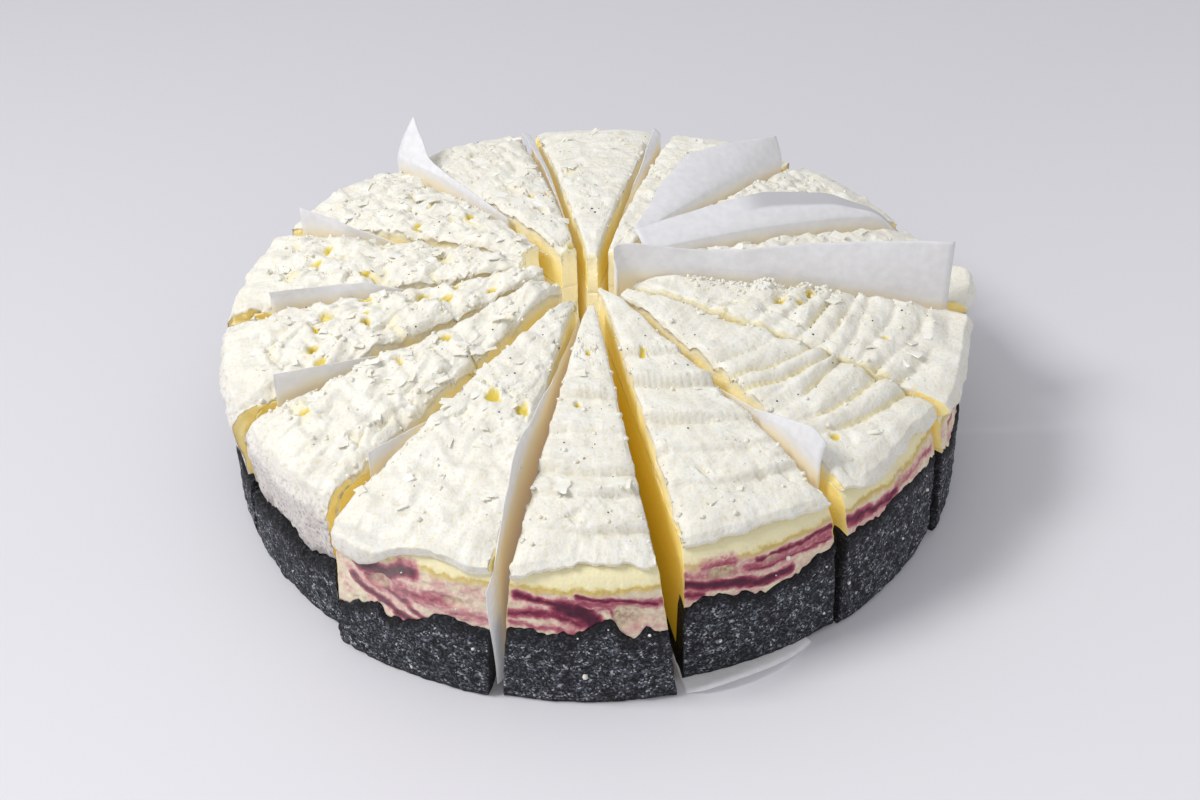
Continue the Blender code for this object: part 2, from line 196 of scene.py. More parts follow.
# %% [markdown]
# ## A block with six faces
# Crust, filling and cream are each a block between two layers, wrapped into a wedge. A subdivided
# cube would do, but then every point would have to be told where it came from. Here the lattice
# points on the six faces of a box are numbered once, so the faces share their edges and the block is
# closed, and each point keeps its three shares: out along the slice, across it and up through it.

# %% Block and mesh helpers
def block(out_cells, across_cells, up_cells):
    """The shares (0 to 1) of all lattice points on a box's six faces, and the quads between them."""
    cells = np.array([out_cells, across_cells, up_cells])
    place = np.moveaxis(np.indices(cells + 1), 0, -1)
    on_face = ((place == 0) | (place == cells)).any(axis=-1)
    number = np.full(cells + 1, -1)
    number[on_face] = np.arange(on_face.sum())
    quads = []
    for axis in range(3):
        for end in (0, cells[axis]):
            side = np.take(number, end, axis=axis)
            quad = np.stack([side[:-1, :-1], side[1:, :-1], side[1:, 1:], side[:-1, 1:]], axis=-1)
            turned = (end == 0) != (axis == 1)
            quads.append(quad.reshape(-1, 4)[:, ::-1] if turned else quad.reshape(-1, 4))
    return place[on_face] / cells, np.concatenate(quads)


def outermost(share):
    """True on the block's last layer of points, where the share is 1."""
    return share > 0.999


def make_mesh(name, points, quads, attributes=None):
    """A smooth mesh object from arrays of points and quads, with one float attribute for each entry."""
    mesh = bpy.data.meshes.new(name)
    mesh.vertices.add(len(points))
    mesh.vertices.foreach_set("co", np.asarray(points, np.float32).ravel())
    mesh.loops.add(quads.size)
    mesh.loops.foreach_set("vertex_index", quads.astype(np.int32).ravel())
    mesh.polygons.add(len(quads))
    mesh.polygons.foreach_set("loop_start", np.arange(0, quads.size, 4, dtype=np.int32))
    mesh.update(calc_edges=True)
    mesh.shade_smooth()
    for label, values in (attributes or {}).items():
        layer = mesh.attributes.new(label, "FLOAT", "POINT")
        layer.data.foreach_set("value", np.asarray(values, np.float32))
    item = bpy.data.objects.new(name, mesh)
    scene.collection.objects.link(item)
    return item


def dress(item, material, slot, *nodes):
    """Gives a piece its material, lets it stand for CAD nodes and fixes it to the cake. The slot is not
    used.
    """
    item.data.materials.append(material)
    if nodes:
        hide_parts(*nodes)
    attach(item, "root")
    return item


def one_per_slice(name, make, *cells):
    """One piece for each slice. The function turns the block's shares into points and attributes."""
    shares, quads = block(*cells)
    out, across, up = shares.T
    pieces = []
    for number in range(SLICE_COUNT):
        points, values = make(number, out, across * 2 - 1, up)
        pieces.append(make_mesh(f"{name}_{number + 1:02d}", points, quads, values))
    print(name, "pieces:", len(pieces), "of", 2 * len(quads), "triangles")
    return pieces


shares, quads = block(2, 2, 2)
print("a block of 2 x 2 x 2 cells has", len(shares), "points and", len(quads), "quads")

# %% [markdown]
# ## Where a slice's points go
# A place in a slice is a distance from the cake's middle, a share across the slice from -1 at one cut
# to 1 at the other, and a height. The knife's gap, the lean of the sides and the slice's own shift
# turn that into x, y and z.

# %% The slice as a function
def mix(low, high, share):
    """The low value plus the share of the way to the high one."""
    return low + (high - low) * share


def slice_middle(index):
    """The angle of a slice's middle: the first cut plus a whole number of slices and a half."""
    return FIRST_CUT + (index + 0.5) * SLICE_ANGLE


def around(radius, angle, height):
    """x is radius times sine, y is minus radius times cosine: angles count from -Y towards +X."""
    return np.stack(np.broadcast_arrays(radius * np.sin(angle), -radius * np.cos(angle), height), axis=-1)


def in_slice(index, radius, across, height, sideways=0.0):
    """Points of a slice. The half angle is half a slice, less the knife's gap and the side's lean."""
    row = SLICES[index]
    lean = np.where(across > 0, row.lean[1], row.lean[0]) / CAKE_RADIUS * height / CREAM_RIM
    half = SLICE_ANGLE / 2 - np.arcsin(np.minimum(KNIFE_GAP / radius, 0.9)) - lean
    angle = slice_middle(index) + across * half + sideways / radius
    return around(radius, angle, height) + around(row.shift, slice_middle(index), 0.0) + CAKE_AXIS


def rough(x, y):
    """The model's lumps about 2 cm apart: the product of warped waves, with finer ones added."""
    broad = np.sin(290 * x + 1.4 * np.sin(210 * y + 0.7)) * np.sin(250 * y + 1.1 * np.sin(260 * x))
    fine = np.sin(560 * y + 1.7 * np.sin(390 * x)) * np.sin(610 * x - 0.9)
    return 0.65 * broad + 0.35 * fine


def blunt(places):
    """How unevenly a slice's tip is broken off: two sizes of noise, up to 1 mm."""
    return 0.0008 * noise(places, 0.0060, 9.2) + 0.0004 * noise(places, 0.0025, 7.3)


def dome(radius):
    """The cream's height without relief: it falls from the middle by the square of the radius."""
    return mix(CREAM_CENTRE, CREAM_RIM, (radius / CAKE_RADIUS) ** 2)


print("the first slice points to", np.round(in_slice(0, 0.13, 0.0, 0.0), 4))

# %% [markdown]
# ## The crust's edge
# The crumb wall breaks off unevenly where it meets the filling, with a few higher crags. Both pieces
# use this one function, so the filling follows every crag.

# %% Crust wall
CRUMBLE = 0.0008
EDGE_SIZES = (0.0040, 0.0017)

# The front slices' edges as seen: (share across, height in mm)
SEEN_EDGES = {
    13: ((-1, 19), (-0.82, 20.9), (-0.5, 26), (-0.36, 29), (-0.24, 24.5), (0.26, 28.2), (0.39, 32),
         (0.56, 32.6), (0.72, 31.1), (1, 30.2)),
    0: ((-1, 31), (-0.86, 31.7), (-0.24, 31.2), (0.01, 32.4), (0.2, 36.4), (0.3, 36.2), (0.4, 32.6),
        (0.54, 28.4), (0.64, 29.4), (0.73, 32.2), (0.85, 31), (0.94, 30), (1, 31)),
    1: ((-1, 33), (-0.9, 33.8), (-0.78, 36.8), (-0.5, 35.2), (0.01, 31), (0.25, 32.7), (0.57, 34),
        (0.7, 36.5), (0.88, 37.6), (1, 38.4)),
    2: ((-1, 40), (-0.7, 39.4), (-0.41, 38.4), (-0.12, 42.4), (0.3, 40.6), (1, 38)),
}


def rim_height(index, across):
    """The wall's top edge: a line from cut to cut with two waves, or the edge as seen, and crumble."""
    start, end = SLICES[index].rim
    ragged = np.sin(5.1 * across + 2.3 * index) + 0.6 * np.sin(11.7 * across + 4.1 * index)
    height = mix(start, end, (across + 1) / 2) + RIM_RAGGED * ragged
    if index in SEEN_EDGES:
        height = np.interp(across, *np.array(SEEN_EDGES[index]).T) / 1000
    along = np.stack([across * 0.029, np.full_like(across, index * 0.1), np.zeros_like(across)], axis=-1)
    return height + CRUMBLE * sum(noise(along, size) for size in EDGE_SIZES)


def wall_top(index, radius, across):
    """The top of the wall falls away on both sides of its crest."""
    return rim_height(index, across) - WALL_SLOPE * np.abs(radius - WALL_CREST)


OUT_KNOTS = (0.0, 0.25, 0.50, 0.62, 0.78, 1.0)
LOWER_ROUND = 0.0014
GRIT = 0.00035
INNER_SHADE = 0.8


def make_crust(index, out, across, up):
    """A wedge of pressed crumb, and painted shade: darker at the top and bottom and off the outer face.

    Top and bottom are two lines of (radius, height) corners, read at each point's share out along
    the slice and mixed by its share up. Three sizes of noise then push the outside in and out.
    """
    row = SLICES[index]
    foot = FLAP_LIFT if index == FLAP_SLICE else 0.0
    top_radii = (row.tip, STRAIGHT_MIDDLE, WALL_INNER, WALL_TOP_INNER, WALL_CREST, WALL_TOP_OUTER)
    bottom_radii = (row.tip, STRAIGHT_MIDDLE, WALL_INNER, WALL_TOP_INNER, WALL_CREST, CAKE_RADIUS)
    top_radius = np.interp(out, OUT_KNOTS, top_radii)
    bottom_radius = np.interp(out, OUT_KNOTS, bottom_radii)
    on_wall = smooth_step(OUT_KNOTS[2], OUT_KNOTS[3], out)
    top = mix(BASE_THICKNESS, wall_top(index, np.maximum(top_radius, WALL_TOP_INNER), across), on_wall)
    radius = mix(bottom_radius, top_radius, up)
    height = mix(foot, top, up)
    outside = outermost(out)
    corner = np.exp(-(height - foot) / LOWER_ROUND) + np.exp(-(top - height) / LOWER_ROUND)
    place = in_slice(index, radius, across, height)
    grit = noise(place, 0.0034, index) + 0.8 * noise(place, 0.0017, index)
    grit = grit + 0.5 * crests(place, 0.0060, index)
    edge = smooth_step(0.0035, 0.0, top - height) * crests(place, 0.0030, index) * 0.0005
    radius = radius + outside * (GRIT * grit - 0.0009 * corner + edge)
    sideways = -np.sign(across) * outermost(np.abs(across)) * 0.0003 * (1 + noise(place, 0.003, index))
    lift = (0.0004 * crests(place, 0.0022, index) - 0.0002) * on_wall * outermost(up)
    # Painted shade: darker near the wall's top and the table, and on the cut sides and hidden faces.
    shade = np.maximum(smooth_step(0.0060, 0.0, top - height), smooth_step(0.0022, 0.0, height - foot))
    shade = np.maximum(shade, INNER_SHADE * ~outside)
    return in_slice(index, radius, across, height + lift, sideways), {"shade": shade}


crusts = one_per_slice("crumb", make_crust, 16, 64, 36)

# %% [markdown]
# ## The baked filling
# The filling stands in the crust, laps over its wall and rounds off under the cream. Its side shows
# what the cut of a marbled cheesecake shows: a pale yellow band of plain custard on top, and below it
# cream and pink with dark streaks of berry. A texture could not put those streaks where they are on
# this cake, so each streak is a line of named points, and every point of the mesh keeps how near it
# lies to the nearest one. The material then turns that smooth value into sharp edges.

# %% Streaks of berry
HALF_WIDTH_MM = 29.0

# For each slice, streaks as (half thickness in mm, strength, points of (share across, height in mm))
STREAKS = {
    13: ((2.2, 1.15, ((-0.62, 41), (-0.42, 42.2), (-0.22, 41.6), (-0.05, 43.6), (0.1, 45.4))),
         (1.5, 1, ((-0.72, 33.5), (-0.52, 31), (-0.26, 28.8), (-0.05, 26.8), (0.18, 25.2))),
         (0.8, 0.85, ((-0.52, 38.5), (-0.22, 35), (0.04, 32), (0.27, 28.3))),
         (3.2, 0.52, ((-0.45, 36.5), (-0.15, 36), (0.2, 36.6), (0.5, 38))),
         (2.4, 0.4, ((0.55, 33.5), (0.8, 33), (1, 32))),
         (0.9, 0.55, ((-0.9, 44), (-0.8, 46.5), (-0.72, 47.5)))),
    0: ((1.3, 0.95, ((-0.9, 45), (-0.72, 43.6), (-0.45, 42.2), (-0.19, 41.4), (0.04, 39.6))),
        (2.6, 1.2, ((-0.34, 41.2), (-0.14, 39.2), (0.03, 36.4), (0.12, 33))),
        (0.8, 0.85, ((-0.13, 44.9), (0.13, 44), (0.45, 43.6), (0.9, 40.4))),
        (2.2, 0.5, ((-0.1, 42.5), (0.3, 42), (0.7, 41.6), (1, 41))),
        (0.7, 0.6, ((0.19, 43.9), (0.29, 39.9), (0.36, 35.3))),
        (1.7, 0.72, ((-0.98, 37), (-0.67, 38.2), (-0.4, 37.6), (-0.2, 35.5), (0, 33))),
        (1.2, 0.46, ((-0.95, 33.5), (-0.52, 32.4), (-0.14, 30.9)))),
    1: ((1.5, 1.05, ((-0.99, 41), (-0.72, 39.4), (-0.43, 37.8), (-0.19, 36.3), (0.06, 35.2), (0.35, 35.6))),
        (1.1, 0.75, ((-0.97, 37.2), (-0.78, 36.4))),
        (1, 0.8, ((-0.1, 44.6), (0.23, 44.6), (0.56, 44.4), (0.98, 45))),
        (0.8, 0.62, ((-0.22, 41), (0.17, 41), (0.57, 40.6), (0.95, 41.4))),
        (3, 0.42, ((-0.25, 42), (0.2, 42), (0.6, 42.2), (1, 43))),
        (2.6, 0.4, ((-1, 45), (-0.7, 43.6), (-0.4, 42.8))),
        (1.8, 0.55, ((-0.74, 47.6), (-0.58, 47.2), (-0.4, 46.4)))),
    2: ((1.7, 0.8, ((-0.98, 44.2), (-0.72, 42.8), (-0.48, 42), (-0.1, 42.6))),
        (1.1, 0.95, ((-0.8, 43.2), (-0.6, 42.6), (-0.3, 42))),
        (1.6, 0.4, ((-0.2, 43), (0.3, 43.4), (0.9, 42.4)))),
    3: ((2, 0.6, ((-0.6, 41), (0, 42), (0.8, 40.5))),
        (1.2, 0.85, ((0.1, 44), (0.55, 43), (0.95, 44.5)))),
}


# Hollows torn into the side: slice, share across, height, half width, half height and depth in mm
HOLLOWS = ((1, -0.52, 43.5, 5, 2.2, 2.2), (0, 0.52, 37, 6.5, 4, 1.4), (13, -0.3, 37.5, 4.5, 2.4, 1),
           (13, 0.62, 38, 3.5, 2, 1), (1, 0.1, 42.5, 4, 1.5, 0.8), (2, 0.05, 45, 5, 2, 0.9))


def nearness(across, height_mm, streak):
    """1 on the streak's line, 0 at twice its half thickness, by distance to its nearest stretch."""
    thickness, strength, points = streak
    place = np.stack([across * HALF_WIDTH_MM, height_mm], axis=-1)
    corners = np.array(points) * (HALF_WIDTH_MM, 1.0)
    nearest = np.full(len(place), 1e9)
    for start, end in zip(corners[:-1], corners[1:]):
        along = end - start
        share = np.clip((place - start) @ along / (along @ along), 0.0, 1.0)
        nearest = np.minimum(nearest, np.linalg.norm(place - start - share[:, None] * along, axis=-1))
    return strength * np.clip(1 - nearest / (2 * thickness), 0.0, 1.0)


def invented_streaks():
    """Streaks for the slices turned away from the photograph: slow waves at drawn heights."""
    lines = []
    for _ in range(5):
        start, bend, phase = draw.uniform(35, 45), draw.uniform(1.0, 3.5), draw.uniform(0, 6.3)
        first = draw.uniform(-1.0, 0.2)
        across = np.linspace(first, min(first + draw.uniform(0.7, 1.5), 1.0), 6)
        heights = start + bend * np.sin(2.6 * across + phase)
        lines.append((draw.uniform(0.7, 2.4), draw.uniform(0.45, 1.1), tuple(zip(across, heights))))
    return lines


for number in range(4, 13):
    STREAKS[number] = invented_streaks()
print("streaks on", len(STREAKS), "slices")

# %% [markdown]
# The filling's side is one line from the top's edge over the shoulder to the crust. The cream has to
# follow the same line from outside, so it is a function of its own and can be read in both directions.

# %% The filling's shape
FILL_KNOTS = (0.0, 0.35, 0.60, 0.74, 0.87, 1.0)


def shoulder_line(index, depth, across):
    """A point on the filling's side: whole depths are the shoulder's corners, from the top down."""
    recess = DRAPE_RECESS * SLICES[index].drape
    foot = wall_top(index, BAKED_SIDE - recess, across)
    radii, heights = np.array(SHOULDER).T
    radius = np.interp(depth, (0, 1, 2, 3), (*radii, BAKED_SIDE)) - recess
    height = np.interp(depth, (0, 1, 2), heights) + np.clip(depth - 2, 0, 1) * (foot - heights[2])
    return radius, height


def depth_at(index, height, across):
    """The depth at which the filling's side has a height: the inverse of the shoulder's line."""
    heights = np.array(SHOULDER)[:, 1]
    foot = rim_height(index, across)
    upper = np.interp(-height, -heights, (0, 1, 2))
    lower = 2 + np.clip((heights[2] - height) / (heights[2] - foot), 0, 1)
    return np.where(height > heights[2], upper, lower)


def make_filling(index, out, across, up):
    """A wedge of baked custard, and what its material needs at each point.

    The under side follows the crust, the top is flat, and the outer end runs from the shoulder's
    last corner down to the crust's edge. Fine noise gives the side its pores, and listed hollows are
    pushed in. The attributes: how near a streak of berry is, cut side, cream smeared down the side,
    metres along the side, hollow, and blunt tip.
    """
    row = SLICES[index]
    recess = DRAPE_RECESS * row.drape
    bottom_radius = np.interp(out, FILL_KNOTS, (row.tip, STRAIGHT_MIDDLE, WALL_INNER - FIT_GAP,
                                                WALL_TOP_INNER - FIT_GAP, WALL_CREST, BAKED_SIDE - recess))
    over = np.clip((out - FILL_KNOTS[2]) / (FILL_KNOTS[3] - FILL_KNOTS[2]), 0.0, 1.0)
    rest = wall_top(index, np.maximum(bottom_radius, WALL_TOP_INNER), across)
    bottom = mix(BASE_THICKNESS, rest, over) + FIT_GAP
    corner_radii = [corner[0] - recess for corner in SHOULDER]
    top_radius = np.interp(out, FILL_KNOTS, (row.tip, STRAIGHT_MIDDLE, CREAM_TURN - 0.005, *corner_radii))
    top = np.interp(out, FILL_KNOTS, (BAKED_TOP,) * 3 + tuple(corner[1] for corner in SHOULDER))
    radius, height = mix(bottom_radius, top_radius, up), mix(bottom, top, up)
    place = in_slice(index, radius, across, height)
    plain = smooth_step(0.045, 0.050, height)
    pores = 0.00035 * crests(place, 0.0030, index) + 0.00025 * noise(place, 0.0015, index)
    pores = pores * (1 - 0.75 * plain)
    sag = 0.0007 * noise(place, 0.0120, index)
    outside = outermost(out)
    cut_side, at_tip = outermost(np.abs(across)), outermost(1 - out)
    sideways = -np.sign(across) * cut_side * (0.0003 + 0.0003 * noise(place, 0.0030, index))
    berry = np.zeros(len(across))
    warp = 0.9 * noise(place, 0.0060, 3.3) + 0.5 * noise(place, 0.0022, 5.1)
    for streak in STREAKS[index]:
        berry = np.maximum(berry, nearness(across, height * 1000 + warp, streak))
    berry *= smooth_step(0.0485, 0.0465, height + 0.0008 * noise(place, 0.004, 1.7))
    smear = row.drape * (0.75 + 0.5 * noise(place, 0.009, 2.2)) * outside
    dent = np.zeros(len(across))
    for number, middle, level, half_width, half_height, deep in HOLLOWS:
        if number == index:
            away = np.hypot((across - middle) * HALF_WIDTH_MM / half_width,
                            (height * 1000 - level) / half_height)
            dent = dent + deep / 1000 * smooth_step(1.2, 0.6, away + 0.35 * noise(place, 0.0030, 6.1))
    pores = pores + dent / 0.0012 * 0.0004 * noise(place, 0.0014, 4.2) - dent
    radius = radius + outside * (pores + sag) + at_tip * blunt(place)
    points = in_slice(index, radius, across, height, sideways)
    return points, {"berry": berry, "cut": cut_side | at_tip, "smear": smear, "tip": at_tip,
                    "along": across * HALF_WIDTH_MM / 1000, "dent": np.clip(dent / 0.0015, 0.0, 1.0)}


fillings = one_per_slice("custard", make_filling, 10, 96, 44)

# %% [markdown]
# ## The cream
# The cream was combed in arcs on the front and right slices, and left rough under white shavings on
# the left ones. Sculpting would be one way; here the height is a sum of parts that a cook would name:
# the dome, the comb's grooves, the torn flakes, small pits, and the slump at the cuts. Grooves and
# pits that the photograph shows are listed where they are, and the other slices get drawn ones.

# %% Grooves and pits in the cream
# Grooves of the comb as seen: (radius in mm in the slice's middle, mm further out at its later cut)
SEEN_GROOVES = {
    0: ((58, 1), (74, 1), (91, 0.5), (99.4, -0.8), (113, 0)),
    1: ((48, 4), (63.8, 5.4), (81.5, 6.8), (95, 4.5), (107.6, 2.6)),
    2: ((66, 4), (76, 6), (83, 6), (91, 1), (101.5, 5.4), (109.5, 7.5)),
    3: ((62, 4), (70.3, 6), (78.5, 5), (86.9, 4.5), (93, 2.5), (101, 5), (110, 7), (117.5, 6)),
}

# Small holes, painted yellow for the light bouncing in them: (radius in mm, share across, size in mm)
SEEN_PITS = {
    0: ((62.5, -0.35, 1.6), (38.6, -0.08, 1.5)),
    1: ((47, -0.3, 1.2),),
    2: ((109.7, -0.48, 1.5), (120, -0.8, 1.2)),
    3: ((68.5, 0.88, 2), (64, 0.17, 2.2), (71.1, 0.23, 2), (101.7, -0.19, 1.6), (53.3, -0.56, 1.3),
        (74.1, 0.69, 1.6)),
    4: ((35.6, -0.79, 1.8), (42, -0.03, 1.3)),
    8: ((21, -0.8, 2),),
    9: ((73.6, 0.7, 2.2), (60, -0.3, 1.8)),
    10: ((101.9, -0.42, 2), (102.2, 0.08, 2.2), (80.2, 0.59, 2), (77.7, -0.49, 1.5)),
    11: ((78.1, -0.82, 2), (78.4, -0.06, 1.5), (79.1, 0.24, 1.6), (57.2, -0.37, 2.4), (46.3, -0.62, 2),
         (50.1, 0.07, 2.4), (96, -0.07, 1.8), (98, 0.44, 2.2), (97.7, 0.82, 2), (34.2, 0.35, 2)),
    12: ((111.3, -0.46, 1.8), (57.6, -0.36, 2.2), (65, -0.2, 1.4)),
    13: ((65, -0.01, 2.4), (67.1, 0.67, 2.2)),
}


def drawn_grooves(index):
    """Grooves for the slices seen too flat to measure: one comb's pitch apart, each a little aslant."""
    radii = np.arange(0.050, CREAM_TURN, SLICES[index].pitch) * 1000
    moved, aslant = draw.uniform(-0.8, 0.8, len(radii)), draw.uniform(-1.5, 1.5, len(radii))
    return np.stack([radii + moved, aslant], axis=-1)


grooves = [np.array(SEEN_GROOVES.get(number, drawn_grooves(number))) / 1000 for number in range(SLICE_COUNT)]
print("grooves on each slice:", [len(lines) for lines in grooves])

# %% [markdown]
# The height is a function of the place alone, so the cream's surface, the shavings and the crumbs that
# lie on it all ask the same function and nothing floats.

# %% The cream's height
PIT_DEPTH = 0.0016
FLAKE_SIZES = ((0.0085, 0.0020), (0.0040, 0.0010))
FINGER_SLICES = (2, 3)
STEP_PROFILE = ((0.0, 0.03, 0.10, 0.50, 0.86, 0.93, 1.0), (-0.75, -0.95, -0.8, -0.1, 0.6, 0.9, -0.65))
SMOOTH_RIM_SLICES = (2, 3, 13)
# How much higher the cream stands at the point of a slice, in metres
CROWNS = {10: 0.0015, 11: 0.0040, 12: 0.0050}


def combed(index, radius, across, place):
    """The comb's marks: a wave from -1 to 1, and how close each point is to a groove (0 to 1).

    A deep comb leaves round fingers, the square root of a sine, with narrow grooves between them. A
    shallow one leaves steps: a slow rise outwards, then a steep fall that faces the rim.
    """
    lines = grooves[index]
    radius = radius + 0.0012 * noise(place, 0.024, index) + 0.0005 * noise(place, 0.008, index + 0.5)
    places = lines[:, 0] + lines[:, 1] * across[..., None]
    places = np.concatenate([places[..., :1] - 0.012, places, places[..., -1:] + 0.024], axis=-1)
    step = np.clip((radius[..., None] > places).sum(axis=-1), 1, places.shape[-1] - 1)
    lower = np.take_along_axis(places, step[..., None] - 1, axis=-1)[..., 0]
    upper = np.take_along_axis(places, step[..., None], axis=-1)[..., 0]
    share = np.clip((radius - lower) / (upper - lower), 0.0, 1.0)
    fingers = 2 * np.sqrt(np.sin(np.pi * share) + 0.01) - 1
    steps = np.interp(share, *STEP_PROFILE)
    deep = float(index in FINGER_SLICES)
    outside = bell(radius, lower - 0.0005, 0.0011)
    both = np.maximum(outside, bell(radius, upper, 0.0010))
    return mix(steps, fingers, deep), mix(outside, both, deep) * (step > 1) * (step < places.shape[-1])


def shingles(places, size, seed):
    """Overlapping flakes, 0 where none lies and up to 1 on the highest.

    Each cell of a square lattice holds one disc with its own place, reach, height and tilt, read from
    the random lattice. A point takes the highest of the nine discs around it.
    """
    scaled = places[..., :2] / size + 40.0
    cell = np.floor(scaled).astype(int)
    highest = np.zeros(scaled.shape[:-1])
    for step in np.ndindex(3, 3):
        corner = cell + np.array(step) - 1
        drawn = LATTICE[corner[..., 0] % LATTICE_SIZE, corner[..., 1] % LATTICE_SIZE]
        first, second, reach, rise, slope_x, slope_y = (
            drawn[..., (6 * seed + layer) % LATTICE_SIZE] for layer in range(6))
        away_x = scaled[..., 0] - corner[..., 0] - 0.5 - 0.45 * first
        away_y = scaled[..., 1] - corner[..., 1] - 0.5 - 0.45 * second
        plane = 0.55 + 0.25 * rise + 0.45 * (slope_x * away_x + slope_y * away_y)
        covered = np.abs(away_x + 0.4 * slope_y * away_y) + np.abs(away_y) < 0.95 + 0.25 * reach
        highest = np.maximum(highest, np.where(covered, plane, 0.0))
    return highest


def torn_share(index, radius, place):
    """Where the cream is torn and flaky, 0 to 1, in patches 2 cm across."""
    smooth = 0.45 * smooth_step(0.075, 0.100, radius) if index in SMOOTH_RIM_SLICES else 0.0
    balance = 2.0 * (SLICES[index].torn - smooth) - 1.0
    return smooth_step(-0.45, 0.45, noise(place, 0.017, index + 0.4) + balance)


def closed_side(index, across):
    """1 on a side where no gap was cut open, as between the two combed slices on the right."""
    row = SLICES[index]
    return np.where(across > 0, row.lean[1], row.lean[0]) == 0.0


def cream_top(index, radius, across):
    """Height of the cream's top, painted yellow shade in pits, grooves and creases, and painted fold shade
    (0 to 1).
    """
    row = SLICES[index]
    radius, across = np.broadcast_arrays(radius, across)
    place = in_slice(index, radius, across, dome(radius))
    flat = place * (1.0, 1.0, 0.0)
    fade = smooth_step(0.030, 0.055, radius)
    wave, groove = combed(index, radius, across, flat)
    broken = 0.35 + 0.65 * smooth_step(-0.5, 0.1, noise(flat, 0.016, index + 3.1))
    torn = torn_share(index, radius, flat)
    polar = np.stack([radius, across * radius * 0.045, np.full(radius.shape, index * 0.3)], axis=-1)
    scratches = crests(polar, 0.0023, index) + 0.6 * noise(polar, 0.0050, index + 0.5)
    lumps = 0.8 * noise(flat, 0.0110, index + 1.1) + 0.6 * crests(flat, 0.0055, index + 2.2)
    bent = [noise(flat, 0.0035, 1.5), noise(flat, 0.0035, 8.5), 0 * radius]
    warped = flat + 0.0008 * np.stack(bent, axis=-1)
    flakes = [shingles(warped, size, index + layer) for layer, (size, _) in enumerate(FLAKE_SIZES)]
    relief = sum(rise * (flake - 0.6) for flake, (_, rise) in zip(flakes, FLAKE_SIZES))
    pit = 0.7 * torn * smooth_step(0.25, 0.05, flakes[0])
    pit = pit * smooth_step(0.0, 0.3, noise(flat, 0.0120, index + 7.7))
    for pit_radius, pit_across, size in SEEN_PITS.get(index, ()):
        away = np.hypot(radius * 1000 - pit_radius, (across - pit_across) * pit_radius * 0.22)
        pit = np.maximum(pit, smooth_step(1.40, 0.45, away / size + 0.5 * noise(flat, 0.0016, pit_radius)))
    point = TIP_DROP * (1 - smooth_step(row.tip, row.tip + TIP_ROUND, radius)) * (index not in CROWNS)
    crown = CROWNS.get(index, 0.0) * bell(radius, row.tip + 0.009, 0.013)
    edge = smooth_step(0.86, 1.0, np.abs(across)) * np.where(closed_side(index, across), 0.35, 1.0)
    bites = edge * (0.0006 + 0.0018 * smooth_step(0.0, 0.6, noise(flat, 0.0050, index + 4.4)))
    height = dome(radius) + row.comb * fade * broken * (1 - 0.4 * torn) * wave + crown - point
    height = height + row.lumps * rough(place[..., 0], place[..., 1]) + 0.0005 * (1 - 0.5 * torn) * lumps
    height = height + torn * relief + 0.00034 * (1 - torn) * scratches
    height = height - PIT_DEPTH * pit - row.sag * np.abs(across) ** 5 - bites
    # Where painted shade goes at the comb's grooves, on the step that faces the rim.
    fold = groove * broken * fade * (1 - 0.7 * torn) * (row.comb > 0.0005)
    # Painted yellow shade and bounce light in the comb's grooves, along a closed seam between two slices and
    # in the creases between flakes.
    hollow = (0.45 if index in FINGER_SLICES else 0.15) * fold
    seam = 0.4 * closed_side(index, across) * smooth_step(0.93, 1.0, np.abs(across))
    seam = seam * (noise(flat, 0.004, 2.7) > -0.2)
    creases = 0.28 * torn * smooth_step(0.50, 0.15, flakes[0])
    deep = np.clip(np.maximum(np.maximum(pit, hollow), np.maximum(seam, creases)), 0.0, 1.0)
    return height, deep, fold * (0.35 if index in FINGER_SLICES else 1.0)


print("the cream is", round(float(cream_top(0, np.array([0.06]), np.array([0.0]))[0][0]) * 1000, 1),
      "mm high half way out on the first slice")

# %% [markdown]
# At the rim the cream rounds over and hangs down a little, or far on the slices where it ran down the
# side. A height alone can't describe an overhang, so from the turn outwards the surface goes through
# stations, each a radius and a height.

# %% The cream's shape
CREAM_KNOTS = (0.0, 0.80, 0.86, 0.91, 0.96, 1.0)
LIP_THICK = 0.0011
OVERLAP = 0.0001

# Where the cream's lower edge was seen: (share across, height in mm)
SEEN_LIPS = {
    13: ((-1, 44.5), (-0.85, 42.2), (-0.66, 41), (-0.48, 42.5), (-0.34, 45.5), (-0.2, 48.3), (0.1, 51.5),
         (0.35, 52.5), (0.75, 51), (1, 51.5)),
    0: ((-1, 50), (-0.85, 50.5), (-0.57, 52.8), (-0.1, 54), (0.68, 53.8), (1, 53.6)),
    1: ((-1, 54.1), (-0.1, 53.6), (0.35, 53.2), (0.75, 52.4), (1, 52)),
    2: ((-1, 53.8), (-0.7, 52.5), (-0.4, 51), (-0.1, 52), (0.4, 53), (0.62, 52), (1, 50)),
}

# Curls of cream at the rim: slice, share across, half width, how far up and how far out
CURLS = ((4, -0.62, 0.42, 0.0050, 0.0090), (3, 0.85, 0.20, 0.0012, 0.0020))


def along_line(across, line):
    """A seen line read a little to both sides and averaged, so that its corners are round."""
    places, heights = np.array(line).T
    return sum(np.interp(across + step, places, heights) for step in (-0.08, -0.04, 0.0, 0.04, 0.08)) / 5000


